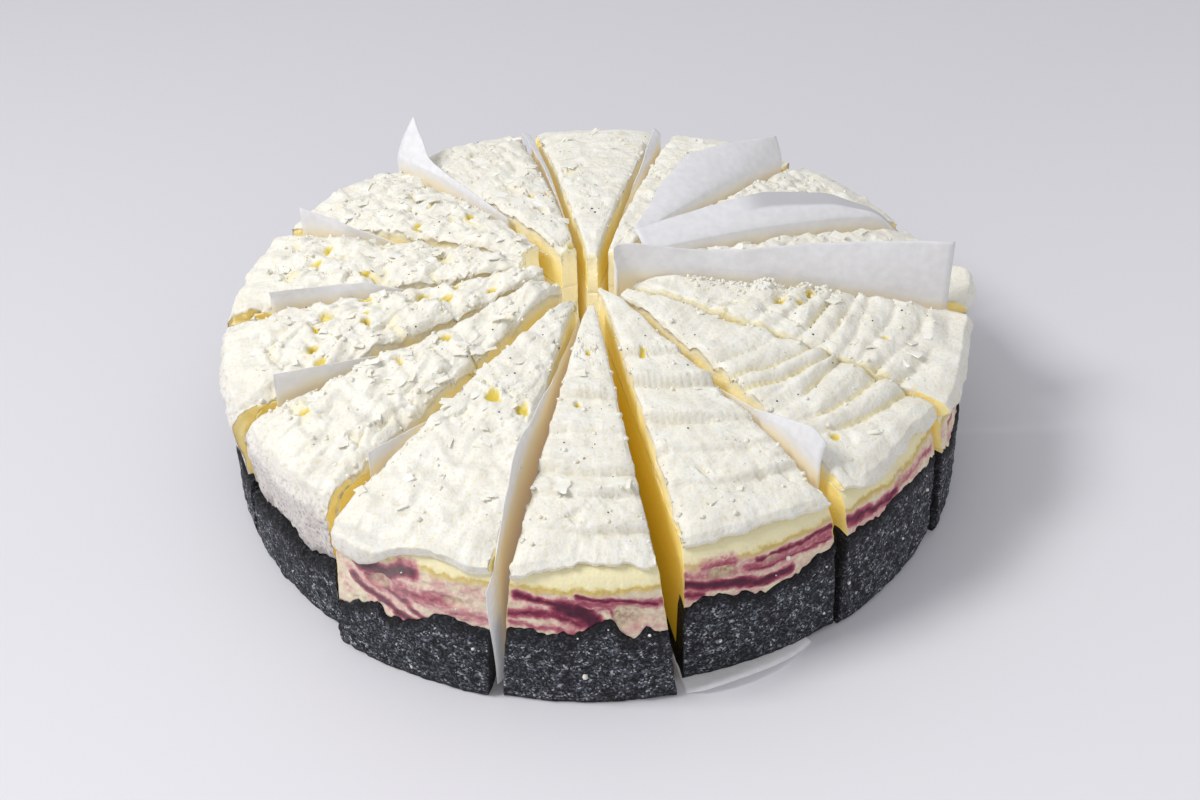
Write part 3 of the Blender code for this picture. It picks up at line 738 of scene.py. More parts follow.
def make_cream(index, out, across, up):
    """A wedge of cream, and what its material needs at each point.

    The top follows the height function out to the turn, then rounds over a nose and back under a
    lip. The under side dips a hair into the filling, so that no dark line shows. Between the two the
    cut sides are straight, with ragged edges where the knife dragged. The attributes: painted yellow
    shade in pits, grooves and creases, mm down a cut, blunt tip, stain of crumb low on the side, and
    painted shade on a fold.
    """
    row = SLICES[index]
    rim = rim_height(index, across)
    along = np.stack([across * 0.029, across * 0.0, across * 0.0 + index], axis=-1)
    wave = 0.0010 * noise(along, 0.0090, 0.3) + 0.0004 * noise(along, 0.0030, 0.9)
    lip = mix(CREAM_LIP, rim + DRAPED_LIP, row.drape)
    if index in SEEN_LIPS:
        lip = along_line(across, SEEN_LIPS[index])
    lip = lip + wave
    end_depth = depth_at(index, lip, across)
    lip_radius = shoulder_line(index, end_depth, across)[0] + LIP_THICK + 0.4 * row.bulge
    nose_radius = lip_radius + 0.0007 + 0.5 * row.bulge
    nose = lip + mix(0.0018, DRAPED_NOSE_RISE - DRAPED_LIP, row.drape)
    turn = np.minimum(CREAM_TURN, nose_radius - 0.0070)
    radii = (row.tip, turn, mix(turn, nose_radius, 0.42), mix(turn, nose_radius, 0.80), nose_radius,
             lip_radius)
    crowns = [cream_top(index, np.minimum(radius, CREAM_REACH), across)[0] for radius in radii[2:4]]
    inner = mix(row.tip, turn, np.clip(out / CREAM_KNOTS[1], 0.0, 1.0))
    crown, deep, fold = cream_top(index, inner, across)
    on_dome = smooth_step(0.83, 0.795, out)
    deep, fold = deep * on_dome, fold * on_dome
    heights = (None, crown, crowns[0] - 0.0003, np.maximum(crowns[1] - 0.0014, nose + 0.0004), nose, lip)
    curl_up, curl_out = np.zeros_like(out), np.zeros_like(out)
    for slice_number, middle, width, rise, reach in CURLS:
        if slice_number == index:
            beside = bell(across, middle, width)
            curl_up += rise * beside * bell(out, 0.90, 0.045)
            curl_out += reach * beside * smooth_step(0.80, 0.90, out)
            # Painted yellow shade in the hollow under the curl.
            deep = np.maximum(deep, 0.14 * beside * bell(out, 0.80, 0.02))
    top_radius, top = inner, crown
    under_radius = inner
    under = np.full(len(out), BAKED_TOP - OVERLAP)
    depths = [0.0 * end_depth, end_depth / 3, end_depth * 2 / 3, end_depth]
    stations = [(turn, under)] + [shoulder_line(index, depth, across) for depth in depths]
    for number in range(1, len(CREAM_KNOTS) - 1):
        start, end = CREAM_KNOTS[number], CREAM_KNOTS[number + 1]
        share, beyond = np.clip((out - start) / (end - start), 0.0, 1.0), out > start
        top_radius = np.where(beyond, mix(radii[number], radii[number + 1], share), top_radius)
        top = np.where(beyond, mix(heights[number], heights[number + 1], share), top)
        low, high = stations[number - 1], stations[number]
        under_radius = np.where(beyond, mix(low[0], high[0], share) - OVERLAP, under_radius)
        under = np.where(beyond, mix(low[1], high[1], share) - OVERLAP, under)
    top_radius, top = top_radius + curl_out, np.maximum(top + curl_up, under + 0.0003)
    radius, height = mix(under_radius, top_radius, up), mix(under, top, up)
    place = in_slice(index, radius, across, height)
    swell = smooth_step(CREAM_KNOTS[1], CREAM_KNOTS[4], out) * up
    side_relief = (0.4 + 0.8 * row.drape) * (0.0006 * crests(place, 0.0060, index + 0.2)
                                             + 0.0004 * noise(place, 0.0026, index))
    cut_side, at_tip = outermost(np.abs(across)), outermost(1 - out)
    near_top = np.exp(-(top - height) / 0.004)
    drag = 0.0003 + near_top * (0.0007 + 0.0012 * noise(place, 0.0036, index + 0.9) + 0.0007 * noise(
        place, 0.0017, index + 0.3))
    drag = np.where(closed_side(index, across), 0.0002 * noise(place, 0.0030, index) - 0.0004, drag)
    depth_mm = np.clip(np.maximum((top - height) * 1000, 7.0 * (out > CREAM_KNOTS[1])), 0.0, 30.0)
    depth_mm = depth_mm * (cut_side | at_tip) * smooth_step(1.0, 0.9, up)
    radius = radius + swell * side_relief + at_tip * blunt(place)
    points = in_slice(index, radius, across, height, -np.sign(across) * cut_side * drag)
    return points, {"pit": deep * outermost(up) * (out < CREAM_KNOTS[3]), "depth": depth_mm,
                    "tip": at_tip, "fold": fold * outermost(up),
                    "stain": row.drape * smooth_step(0.060, 0.040, height)}


creams = one_per_slice("whipped_cream", make_cream, 168, 84, 8)

# %% [markdown]
# ## Baking paper
# A strip of parchment stands in most of the cuts. Each is a line of stations from the middle outwards
# that says how high the sheet reaches, how far it leans and how far it stands off the cut. The
# stations are joined by straight lines and then smoothed, because paper bends but has no corners.

# %% The sheets
PAPER_THICKNESS = 0.0003
PAPER_BOTTOM = 0.0015
PAPER_CLEAR = 0.0025
# For each cut, stations in mm: distance from the middle, height, lean of the top, place beside the cut
SHEETS = (
    (0, ((18, 66, 0, 0), (60, 68, 0, 0), (100, 73.5, 0, 0), (126, 62, 0, 1), (133.5, 51, 0, 0.8),
         (136.5, 47, 0, -0.4))),
    (2, ((20, 58, 0, 0), (86, 65, 0, 0), (112, 73.5, 1.5, 0), (117.5, 70, 2, 0))),
    (4, ((9.5, 78, 0, -8.5), (6, 85, 0, -0.5), (15, 85, 0, 0), (40, 81, 1, 0), (80, 82.5, 3, 0),
         (126.5, 85, 0, 0))),
    (5, ((21, 80, 8, 0), (48, 79, 11, 0), (75, 78, 12, 0), (102, 72, 9, 0), (120, 63, 2, 0),
         (131, 50, 0, 0))),
    (6, ((29, 76, 3, 0), (55, 78, 11, 0), (78, 79, 15, 0), (100, 76, 9, 0), (118, 72, 3, 0))),
    (7, ((40, 64, 0, 0), (90, 66, 1, 0), (117, 64, 2, 0))),
    (8, ((35, 66, 0, 0), (80, 69, 2, 0), (119, 62.5, 3.5, 0))),
    (9, ((50, 70, 0, 0), (90, 69, -1, 0), (110, 67, -3.5, 0), (120, 71, -7, 0), (127.5, 76, -9.5, 0))),
    (10, ((35, 56, 0, 0), (86, 63, 0, 0), (124, 66.5, 0, 0))),
    (11, ((30, 58, 0, 0), (80, 69, 0, 0), (115, 66.5, 1, 0))),
    (12, ((30, 56, 0, 0), (90, 64.5, 0, 0), (117.5, 69, 1, 0))),
    (13, ((30, 55, 0, 0), (86, 61, 0, 0), (113, 66, 0, 0))),
)
SMOOTHING = 5
OUTER_TAPER = 0.0050
FOLDED_CUT = 5


def smoothed(stations, share):
    """The stations' four values at a share of the way: straight lines, averaged over a short window."""
    table = np.array(stations) / 1000
    fine = np.linspace(0.0, 1.0, 201)
    lengths = np.concatenate([[0.0], np.cumsum(np.maximum(np.abs(np.diff(table[:, 0])), 0.003))])
    columns = []
    for column in table.T:
        line = np.interp(fine, lengths / lengths[-1], column)
        padded = np.pad(line, SMOOTHING, mode="reflect", reflect_type="odd")
        soft = np.convolve(padded, np.ones(2 * SMOOTHING + 1) / (2 * SMOOTHING + 1), mode="valid")
        columns.append(np.interp(share, fine, soft))
    return columns


def make_sheet(cut, stations):
    """A sheet on edge in a cut, how far each point lies below the cream's top, and where painted shade marks
    its folded top.

    Below the knee it is straight, above it leans by its share of the way up to the power 1.5. Its
    two faces stand half the paper's thickness to either side of the middle surface.
    """
    out, up, face = shares.T
    along, top, lean, aside = smoothed(stations, out)
    knee = np.minimum(dome(along) + PAPER_CLEAR, top - PAPER_CLEAR)
    loose = np.clip((up - 0.2) / 0.8, 0.0, 1.0)
    height = np.where(up < 0.2, mix(PAPER_BOTTOM, knee, up / 0.2), mix(knee, top, loose))
    angle = FIRST_CUT + cut * SLICE_ANGLE
    centre = (SLICES[cut].shift - SLICES[cut - 1].shift) * math.sin(SLICE_ANGLE / 2) / 2
    flat = np.stack([along, height, along * 0 + cut * 0.01], axis=-1)
    crease = loose * (0.0007 * noise(flat, 0.014) + 0.0003 * crests(flat, 0.009, cut))
    sideways = centre + aside + lean * loose ** 1.5 + crease + (0.5 - face) * PAPER_THICKNESS
    reach = along - OUTER_TAPER * smooth_step(0.124, 0.140, along) * smooth_step(0.044, 0.005, height)
    points = around(reach, angle, height) + around(sideways, angle + math.pi / 2, 0.0) + CAKE_AXIS
    inside = smooth_step(0.130, 0.122, along)
    # Painted shade on the folded-back top of one sheet; the mesh only leans, it is not folded.
    folded = smooth_step(0.062, 0.075, along) * smooth_step(0.62, 0.66, loose) * (cut == FOLDED_CUT)
    return points, {"below": np.clip(dome(along) - 0.002 - height, 0.0, 0.06) * inside, "folded": folded}


shares, quads = block(56, 24, 1)
papers = []
for cut, stations in SHEETS:
    points, values = make_sheet(cut, stations)
    papers.append((make_mesh(f"parchment_{cut + 1:02d}", points, quads, values), f"paper_{cut + 1:02d}"))
print("sheets:", len(papers))

# %% [markdown]
# One scrap of paper lies under the cake and shows at its foot. It is nearly flat, so two edges and the
# curl between them are enough.

# %% The scrap on the table
FLAP_EDGE = ((11.6, 0.1352), (14, 0.137), (17, 0.1372), (20, 0.1368), (24, 0.1358),
             (28, 0.134), (32, 0.1312))
FLAP_INNER = 0.118


def make_flap():
    """A strip between an inner radius and a curved edge, on the table with its free edge curled up."""
    along, out, face = shares.T
    degrees, reach = np.array(FLAP_EDGE).T
    angle = np.interp(along, np.linspace(0, 1, len(degrees)), np.radians(degrees))
    edge = np.interp(along, np.linspace(0, 1, len(reach)), reach)
    curl = 0.0030 * smooth_step(0.55, 1.0, out) * np.sin(np.pi * np.clip(along * 1.1, 0.0, 1.0))
    height = FIT_GAP / 2 + curl + (1 - face) * PAPER_THICKNESS
    return around(mix(FLAP_INNER, edge, out), angle, height) + CAKE_AXIS


shares, quads = block(40, 8, 1)
papers.append((make_mesh("parchment_scrap", make_flap(), quads), "paper_flap"))
print("papers with the scrap:", len(papers))

# %% [markdown]
# ## Shavings, crumbs and specks
# White shavings lie on the left slices, soft crumbs of cream along the cuts and dark specks all over.
# Particles would scatter them too, but then nothing would be real mesh. Here one small template of
# points is turned, sized and set down hundreds of times by array arithmetic, in one mesh for each kind.

# %% Scatter on the cake
def turned(count, tilt):
    """Rotation matrices, one for each copy: a tilt about x, a tilt about y, then any turn about z."""
    angles = draw.normal(0, tilt, count), draw.normal(0, tilt, count), draw.uniform(0, 2 * np.pi, count)
    matrix = np.eye(3)
    for axis, angle in enumerate(angles):
        first, second = (axis + 1) % 3, (axis + 2) % 3
        turn = np.tile(np.eye(3), (count, 1, 1))
        turn[:, first, first] = turn[:, second, second] = np.cos(angle)
        turn[:, second, first], turn[:, first, second] = np.sin(angle), -np.sin(angle)
        matrix = turn @ matrix
    return matrix


def scattered(name, shapes, places, tilt, faces):
    """One mesh of many copies: each shape (copies, points, 3) is turned and moved to its place."""
    points = np.einsum("nij,npj->npi", turned(len(places), tilt), shapes) + np.array(places)[:, None, :]
    quads = faces[None] + (np.arange(len(places)) * shapes.shape[1])[:, None, None]
    return make_mesh(name, points.reshape(-1, 3), quads.reshape(-1, 4))


def on_cream(index, radius, across, lift):
    """Places on top of a slice's cream, a little above it."""
    top = cream_top(index, radius, across)[0]
    return in_slice(index, radius, across, top + lift)


def shavings(count):
    """Curled plates: length, width and bend are drawn, and the outline is ragged by noise."""
    length, width = draw.uniform(1.8, 6.0, count), draw.uniform(1.2, 4.0, count)
    bend = draw.uniform(-0.45, 0.15, count)
    along, aside, up = (shares - 0.5).T
    own = np.broadcast_to(shares, (count, *shares.shape)) + 3.1 * np.arange(count)[:, None, None]
    ragged = 1 + 0.35 * noise(own, 0.35)
    x, y = length[:, None] * along * ragged, width[:, None] * aside * ragged
    return np.stack([x, y, bend[:, None] * length[:, None] * along ** 2 + 0.4 * up], axis=-1) / 1000


shares, quads = block(6, 4, 1)
places = []
for number, row in enumerate(SLICES):
    count = row.flakes
    radius, across = np.sqrt(draw.uniform(0.030 ** 2, 0.118 ** 2, count)), draw.uniform(-0.9, 0.9, count)
    places.append(on_cream(number, radius, across, 0.0002))
places = np.concatenate(places)
shaving_mesh = scattered("cream_shavings", shavings(len(places)), places, 0.16, quads)
shaving_mesh.data.shade_flat()
print("shavings:", len(places), "and", 2 * len(quads) * len(places), "triangles")

# %% [markdown]
# Crumbs and specks are the same lumpy ball in many sizes. Most crumbs are the smallest, as when a real
# crumb breaks: the drawn size is a power of an even draw.

# %% Crumbs and specks
def lumps_of(count, smallest, largest):
    """Lumpy balls: a cube's points pulled onto a sphere, each radius changed by up to a third."""
    ball = (shares - 0.5) / np.linalg.norm(shares - 0.5, axis=-1, keepdims=True)
    size = smallest + (largest - smallest) * draw.uniform(0, 1, count) ** 2.5
    return ball * (size[:, None] / 2 * draw.uniform(0.7, 1.2, (count, len(ball))))[..., None]


shares, quads = block(2, 2, 2)
places = []
for number, row in enumerate(SLICES):
    count = int(24 + 90 * row.torn)
    radius, across = np.sqrt(draw.uniform(0.020 ** 2, 0.120 ** 2, count)), draw.uniform(-0.97, 0.97, count)
    edge = draw.uniform(0, 1, count) < 0.4
    across = np.where(edge, np.sign(across) * draw.uniform(0.90, 0.99, count), across)
    places.append(on_cream(number, radius, across, 0.0001))
beside_sheet = draw.uniform(0.030, 0.085, 260)
places.append(on_cream(3, beside_sheet, 1 - draw.exponential(0.22, 260).clip(0.03, 0.9), 0.0002))
for number in range(SLICE_COUNT):
    across, height = draw.uniform(-0.95, 0.95, 6), draw.uniform(0.004, 0.046, 6)
    out = np.where(height > rim_height(number, across), BAKED_SIDE, CAKE_RADIUS)
    places.append(in_slice(number, out - DRAPE_RECESS * SLICES[number].drape, across, height))
places = np.concatenate(places)
crumb_mesh = scattered("cream_crumbs", lumps_of(len(places), 0.0005, 0.0021), places, 1.0, quads)
print("crumbs:", len(places), "and", 2 * len(quads) * len(places), "triangles")
places = np.concatenate([on_cream(number, draw.uniform(0.03, 0.12, 9), draw.uniform(-0.9, 0.9, 9), 0.0)
                         for number in range(SLICE_COUNT)])
speck_mesh = scattered("dark_specks", lumps_of(len(places), 0.0004, 0.0009), places, 1.0, quads)
print("specks:", len(places))

# %% [markdown]
# ## Materials
# Every finish is built from nodes that read the object's own coordinates in metres, so a pattern has
# one over its real size as its scale. Colours are written as they look on a screen and turned to
# linear by one function. One function adds any node with its settings, values and links.

# %% Helpers for materials
# Painted light: how strongly the blunt tips glow, and the colour of the glow on tips and cut sides.
TIP_GLOW = 0.16
GLOW_COLOUR = "#E0B820"
# How far red, green and blue travel in fat: close together, as much wider red leaves the top greenish
EVEN = (1.0, 0.85, 0.65)
# Inputs in the order they are given here, where a node's own order won't do, and main outputs.
# A colour mix has its factor in socket 0, its two colours in 6 and 7, and its result in 2.
ORDER = {"Mix": (0, 6, 7), "TexNoise": ("Vector", "Scale", "Detail", "Roughness"),
         "TexVoronoi": ("Vector", "Scale"), "Bump": ("Height", "Strength", "Distance")}
MAIN_OUTPUT = {"Mix": 2, "Attribute": "Fac", "TexCoord": "Object"}


def paint(code):
    """An sRGB hex colour as linear numbers: the standard curve, channel by channel, and 1 for alpha."""
    channels = np.array([int(code[place:place + 2], 16) for place in (1, 3, 5)]) / 255
    linear = np.where(channels <= 0.04045, channels / 12.92, ((channels + 0.055) / 1.055) ** 2.4)
    return (*linear.tolist(), 1.0)


def fill(material, node, inputs):
    """Sets a node's inputs. Each is a value, a socket to link, a "#" colour or an attribute's name."""
    for label, value in inputs.items():
        if isinstance(value, str):
            value = paint(value) if value[0] == "#" else add(material, "Attribute", attribute_name=value)
        if isinstance(value, bpy.types.NodeSocket):
            material.node_tree.links.new(value, node.inputs[label])
        else:
            node.inputs[label].default_value = value


def add(material, kind, inputs=(), stops=(), **settings):
    """Adds one node and returns its main output. Inputs come in order or by label; stops are a ramp's."""
    node = material.node_tree.nodes.new("ShaderNode" + kind)
    if kind == "Mix":
        node.data_type = "RGBA"
    for label, value in settings.items():
        setattr(node, label, value)
    if not isinstance(inputs, dict):
        inputs = dict(zip(ORDER.get(kind, range(len(inputs))), inputs))
    fill(material, node, inputs)
    for number, (place, colour) in enumerate(stops):
        ramp = node.color_ramp.elements
        if number == len(ramp):
            ramp.new(1.0)
        ramp[number].position, ramp[number].color = place, paint(colour)
    return node.outputs[MAIN_OUTPUT.get(kind, 0)]


def new_finish(name, inputs):
    """A new material, its Principled shader with the values that are the same all over."""
    material = bpy.data.materials.new(name)
    material.use_nodes = True
    shader = material.node_tree.nodes["Principled BSDF"]
    fill(material, shader, inputs)
    return material, shader


def light_tip(material, shader, colour, strength):
    """Paints light on the slices' blunt tips: a paler colour and a glow, for the light from all sides that
    meets there.
    """
    some = add(material, "Math", ("tip", 0.6), operation="MULTIPLY")
    glowing = add(material, "Mix", ("tip", GLOW_COLOUR, "#F2EFD8"))
    more = add(material, "Math", ("tip", TIP_GLOW, strength), operation="MULTIPLY_ADD")
    fill(material, shader, {"Emission Color": glowing, "Emission Strength": more})
    return add(material, "Mix", (some, colour, "#F8F2D2"))


def per_mm(size_mm):
    """A texture's scale for a pattern of one size: coordinates are metres, so 1000 over millimetres."""
    return 1000.0 / size_mm


print("one millimetre of pattern needs a scale of", per_mm(1.0))

# %% [markdown]
# ### Black cookie crumb
# Ground dark biscuit pressed with butter: grains of about half a millimetre, nearly black, their broken
# faces grey and a few of them pale with sugar. Cells of a Voronoi texture are the grains, and each
# cell's own random value picks its grey.

# %% Crumb
GRAIN_MM = 0.62
crumb, shader = new_finish("pressed black biscuit crumb", {"Roughness": 0.82, "IOR": 1.45})
place = add(crumb, "TexCoord")
bend = add(crumb, "TexNoise", (place, per_mm(2.2), 2.0)).node.outputs["Color"]
moved = add(crumb, "VectorMath", {0: bend, "Scale": 0.0009}, operation="SCALE")
bent = add(crumb, "VectorMath", (place, moved), operation="ADD")
grains = add(crumb, "TexVoronoi", (bent, per_mm(GRAIN_MM)))
value = add(crumb, "SeparateColor", (grains.node.outputs["Color"],))
patches = add(crumb, "TexNoise", (place, per_mm(3.2), 4.0))
lighter = add(crumb, "MapRange", (patches, 0.35, 0.60, -0.26, 0.09))
grey = add(crumb, "Math", (value, lighter), operation="ADD")
# Painted shade from the attribute darkens the grains.
darker = add(crumb, "Math", ("shade", -0.38, grey), operation="MULTIPLY_ADD")
tint = add(crumb, "ValToRGB", (darker,), (
    (0.0, "#0C0C0F"), (0.30, "#1F2025"), (0.60, "#3D3F46"), (0.80, "#5A5D65"), (0.92, "#85888F"),
    (1.0, "#B8BABF")))
fine = add(crumb, "TexNoise", (place, per_mm(0.5), 2.0))
raised = add(crumb, "Math", (grains, -0.8, fine), operation="MULTIPLY_ADD")
bump = add(crumb, "Bump", (raised, 0.7, 0.0005))
fill(crumb, shader, {"Base Color": tint, "Normal": bump})
print("crumb grains of", GRAIN_MM, "mm")

# %% [markdown]
# ### Baked custard with berry
# Baked cream cheese is matt with fine pores. Its plain top band is a smooth pale yellow, and below
# that the custard took up pink from the berries. The streaks arrive as an attribute that rises
# smoothly towards each streak, so a colour ramp can draw their edges as sharp as the real ones, and
# noise that is stretched along the side frays them. In the cuts the light bounces between two
# yellow walls and through them; a faint glow of their own stands for what few bounces leave out.

# %% Custard
BAND_HEIGHT = 0.0475
GLOW = 0.12
custard, shader = new_finish("marbled baked custard", {
    "Roughness": 0.55, "IOR": 1.42, "Subsurface Weight": 0.12, "Subsurface Scale": 0.002,
    "Subsurface Radius": EVEN})
place = add(custard, "TexCoord")
height = add(custard, "SeparateXYZ", (place,)).node.outputs["Z"]
blush = add(custard, "TexNoise", (place, per_mm(7.0), 4.0, 0.6))
mottle = add(custard, "TexNoise", (place, per_mm(1.4), 3.0))
spots = add(custard, "MapRange", (mottle, 0.2, 0.8, -0.12, 0.12))
flush = add(custard, "Math", (blush, spots), operation="ADD")
lower = add(custard, "ValToRGB", (flush,), (
    (0.33, "#ECE2C2"), (0.46, "#E9D7BB"), (0.57, "#E0BAAC"), (0.72, "#CE9494")))
wave = add(custard, "MapRange", (blush, 0.2, 0.8, -0.0020, 0.0020))
level = add(custard, "Math", (height, wave), operation="ADD")
band = add(custard, "MapRange", (level, BAND_HEIGHT - 0.0022, BAND_HEIGHT + 0.0016))
layers = add(custard, "ValToRGB", (band,), (
    (0.0, "#E8D6B0"), (0.40, "#DEC583"), (0.62, "#D4B866"), (0.85, "#F4E8B2"), (1.0, "#F8EEC2")))
above = add(custard, "MapRange", (band, 0.0, 0.35))
plain = add(custard, "Mix", (above, lower, layers))
stretched = add(custard, "Math", ("along", 0.16), operation="MULTIPLY")
fibre_place = add(custard, "CombineXYZ", {"X": stretched, "Z": level})
fibres = add(custard, "TexNoise", (fibre_place, per_mm(1.1), 3.0))
strands = add(custard, "MapRange", (fibres, 0.25, 0.75, -0.30, 0.30))
berry = add(custard, "Attribute", attribute_name="berry")
strength = add(custard, "Math", (berry, 0.10, spots), operation="MULTIPLY_ADD")
drawn_out = add(custard, "Math", (berry, strands, strength), operation="MULTIPLY_ADD")
frayed = add(custard, "Math", (drawn_out, berry), operation="ADD")
stain = add(custard, "ValToRGB", (frayed,), (
    (0.10, "#E8CBBB"), (0.27, "#D59C9A"), (0.45, "#B66472"), (0.66, "#8A2B49"), (0.95, "#52112F")))
share = add(custard, "MapRange", (frayed, 0.05, 0.36))
marbled = add(custard, "Mix", (share, plain, stain))
# Cut sides: golden and darker towards the bottom, painted bounce light and painted shade of the narrow cuts.
deep = add(custard, "MapRange", (height, BASE_THICKNESS, BAKED_TOP))
inside = add(custard, "ValToRGB", (deep,), (
    (0.0, "#B79E66"), (0.40, "#D9C27E"), (0.75, "#EBD890"), (1.0, "#F1DF96")))
speckled = add(custard, "Mix", (0.25, inside, mottle.node.outputs["Color"]), blend_type="SOFT_LIGHT")
torn = add(custard, "ValToRGB", (mottle,), ((0.35, "#C9A08A"), (0.60, "#EADFC0")))
opened = add(custard, "Mix", ("dent", marbled, torn))
sides = add(custard, "Mix", ("cut", opened, speckled))
# Painted light: the cut sides glow faintly.
glow = add(custard, "Math", ("cut", GLOW), operation="MULTIPLY")
paler = light_tip(custard, shader, sides, glow)
covered = add(custard, "Mix", ("smear", paler, "#EFEAE0"))
pores = add(custard, "TexVoronoi", (place, per_mm(1.1)))
bump = add(custard, "Bump", (pores, 0.35, 0.0004))
fill(custard, shader, {"Base Color": covered, "Normal": bump})
print("custard band from", BAND_HEIGHT * 1000, "mm up")

# %% [markdown]
# ### Whipped cream
# Cream is white because its fat drops scatter all colours, and it glows a warm yellow wherever light
# has to bounce between its walls. Tracing enough bounces in a gap of 1 mm is slow and noisy, so the
# yellow of pits and cuts is given as colour, by how deep a point lies.

# %% Cream
GOLDEN_MM = 18.0
cream, shader = new_finish("whipped cream", {
    "Roughness": 0.5, "IOR": 1.45, "Subsurface Weight": 0.12, "Subsurface Scale": 0.0012,
    "Subsurface Radius": EVEN})
place = add(cream, "TexCoord")
uneven = add(cream, "TexNoise", (place, per_mm(9.0), 5.0))
white = add(cream, "ValToRGB", (uneven,), ((0.30, "#ECE8DB"), (0.65, "#F4F2E9")))
# Painted yellow bounce light and shade in pits, grooves and creases.
yellow = add(cream, "ValToRGB", ("pit",), (
    (0.0, "#F3F0E7"), (0.30, "#F0E6C0"), (0.65, "#E9D988"), (1.0, "#DAC24A")))
dip = add(cream, "MapRange", ("pit", 0.05, 0.40))
grainy = add(cream, "TexNoise", (place, per_mm(1.3), 4.0, 0.6))
# Painted shade: the low places of the fine grain, the bump's crevices, are painted a darker tan.
crevice = add(cream, "MapRange", (grainy, 0.48, 0.30, 0.0, 0.8))
warm = add(cream, "Mix", (crevice, white, "#E6DAB4"))
# Painted shade on the step of the comb that faces the rim.
shaded = add(cream, "Mix", ("fold", warm, "#CFC7AE"))
stained = add(cream, "ValToRGB", (grainy,), (
    (0.34, "#8C8184"), (0.41, "#C6BCB9"), (0.50, "#D3CCC6"), (0.60, "#E2DDD6")))
smeared = add(cream, "Mix", ("stain", shaded, stained))
top = add(cream, "Mix", (dip, smeared, yellow))
depth = add(cream, "Attribute", attribute_name="depth")
down = add(cream, "MapRange", (depth, 0.0, GOLDEN_MM))
# Painted bounce light and shade: the cut walls turn golden by how far down they lie, and glow faintly.
golden = add(cream, "ValToRGB", (down,), (
    (0.0, "#F6F2E0"), (0.14, "#F7EFCC"), (0.42, "#F5E6A6"), (1.0, "#F1DF96")))
walls = add(cream, "MapRange", (depth, 0.2, 2.0))
lower = add(cream, "MapRange", (depth, 0.8, 6.5, 0.0, GLOW))
all_over = add(cream, "Mix", (walls, top, golden))
paler = light_tip(cream, shader, all_over, lower)
bump = add(cream, "Bump", (grainy, 0.6, 0.0007))
fill(cream, shader, {"Base Color": paler, "Normal": bump})
print("cream turns golden", GOLDEN_MM, "mm down a cut")

# %% [markdown]
# ### White shavings
# The shavings are fatter and smoother than the cream, so they are a little glossier and warmer. The
# cream's own material would do from afar, but up close its grain would cover each small plate.

# %% Shavings
shaving, shader = new_finish("white shavings", {
    "Roughness": 0.4, "IOR": 1.45, "Subsurface Weight": 0.15, "Subsurface Scale": 0.0015,
    "Subsurface Radius": EVEN})
cloudy = add(shaving, "TexNoise", (add(shaving, "TexCoord"), per_mm(4.0), 2.0))
tone = add(shaving, "ValToRGB", (cloudy,), ((0.35, "#F1ECD9"), (0.65, "#FAF8F0")))
fill(shaving, shader, {"Base Color": tone})
print("shavings a little warmer than the cream")

# %% [markdown]
# ### Parchment
# Baking paper is a thin greaseproof tissue: light passes through, blurred, and what lies right behind
# it tints it. Here that tint is painted: light of the custard behind and painted shade deeper in the
# cut, by how far below the cream's top a point of the sheet lies.

# %% Parchment
# The sheets glow faintly: painted light for what passes through them.
parchment, shader = new_finish("greaseproof parchment", {
    "Roughness": 0.6, "IOR": 1.45, "Transmission Weight": 0.12, "Emission Color": "#F2F1F2",
    "Emission Strength": 0.12})
fibres = add(parchment, "TexNoise", (add(parchment, "TexCoord"), per_mm(3.0), 5.0))
tone = add(parchment, "ValToRGB", (fibres,), ((0.35, "#DAD9DB"), (0.65, "#E3E2E4")))
# Painted light of the custard behind the sheet, and painted shade deeper in the cut.
share = add(parchment, "MapRange", ("below", 0.0, 0.050))
painted_show_through_and_shade = add(parchment, "ValToRGB", (share,), (
    (0.0, "#EEEAE0"), (0.07, "#EADFC2"), (0.24, "#E0CB98"), (0.55, "#B99A62"), (1.0, "#7E746C")))
behind = add(parchment, "MapRange", ("below", 0.0, 0.003))
tinted = add(parchment, "Mix", (behind, tone, painted_show_through_and_shade))
# Painted shade where a sheet's top is folded back.
with_painted_fold_shade = add(parchment, "Mix", ("folded", tinted, "#B9B8BC"))
bump = add(parchment, "Bump", (fibres, 0.25, 0.0003))
fill(parchment, shader, {"Base Color": with_painted_fold_shade, "Normal": bump})
print("parchment tinted down to 50 mm below the cream")

# %% [markdown]
# ## Dressing the cake
# Each new piece stands for its node in the model, takes its material and rides on the one body.

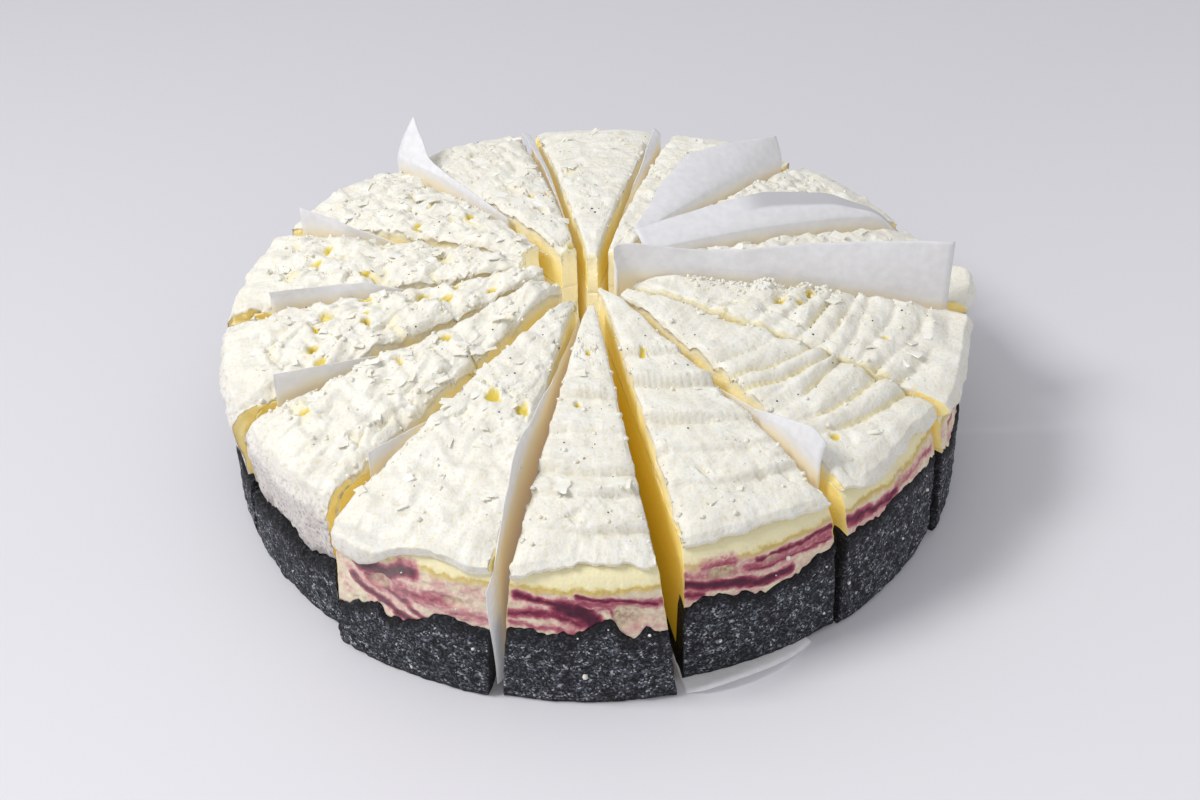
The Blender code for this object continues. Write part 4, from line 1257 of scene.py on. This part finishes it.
# %% Dress the pieces
for number in range(SLICE_COUNT):
    label = f"{number + 1:02d}"
    dress(crusts[number], crumb, "crumb_crust", "crust_" + label)
    dress(fillings[number], custard, "baked_cheesecake", "cheesecake_" + label)
    dress(creams[number], cream, "whipped_cream", "cream_" + label)
for item, node in papers:
    dress(item, parchment, "baking_paper", node)
dress(shaving_mesh, shaving, "whipped_cream")
dress(crumb_mesh, cream, "whipped_cream")
dress(speck_mesh, crumb, "crumb_crust")
print("dressed", 3 * SLICE_COUNT + len(papers) + 3, "pieces")

# %% [markdown]
# ## The table and the light
# A pale matt table with painted light falloff: it darkens a little to the back left. It lies under a
# soft window light from the left and a little in front, with an even fill from the room: the shadows
# are soft and fall to the right.

# %% Table and lights
laminate, shader = new_finish("matt pale laminate", {"Roughness": 0.7})
axes = add(laminate, "SeparateXYZ", (add(laminate, "TexCoord"),)).node.outputs
# Painted light falloff: the table darkens towards the back left.
away = add(laminate, "Math", (axes["X"], -0.80, axes["Y"]), operation="MULTIPLY_ADD")
distance = add(laminate, "MapRange", (away, -0.45, 1.1))
tone = add(laminate, "ValToRGB", (distance,), ((0.0, "#EFEEF1"), (0.35, "#D9D8DC"), (1.0, "#BFBEC3")))
fill(laminate, shader, {"Base Color": tone})
FLOOR_HALF = 6.0
floor = make_mesh("table", np.array([(-1, -1, 0), (1, -1, 0), (1, 1, 0), (-1, 1, 0)]) * FLOOR_HALF,
                  np.array([[0, 1, 2, 3]]))
floor.data.materials.append(laminate)


def soft_light(name, place, target, size, power):
    """A square area light at a place, its matrix turned so that it looks at a target."""
    lamp = bpy.data.lights.new(name, "AREA")
    lamp.size = size
    lamp.energy = power
    item = bpy.data.objects.new(name, lamp)
    way = np.array(target, float) - place
    pitch = math.asin(-way[2] / np.linalg.norm(way))
    item.matrix_world = look_from(place, pitch, math.atan2(way[0], way[1]), 0.0).T.tolist()
    scene.collection.objects.link(item)


soft_light("window", (-0.88, -0.20, 1.15), (0, 0, 0.03), 0.45, 12.3)
world = bpy.data.worlds.new("room")
world.use_nodes = True
fill(world, world.node_tree.nodes["Background"], {"Color": "#F4F5FA", "Strength": 0.63})
scene.world = world
print("one window light and the room's own light")
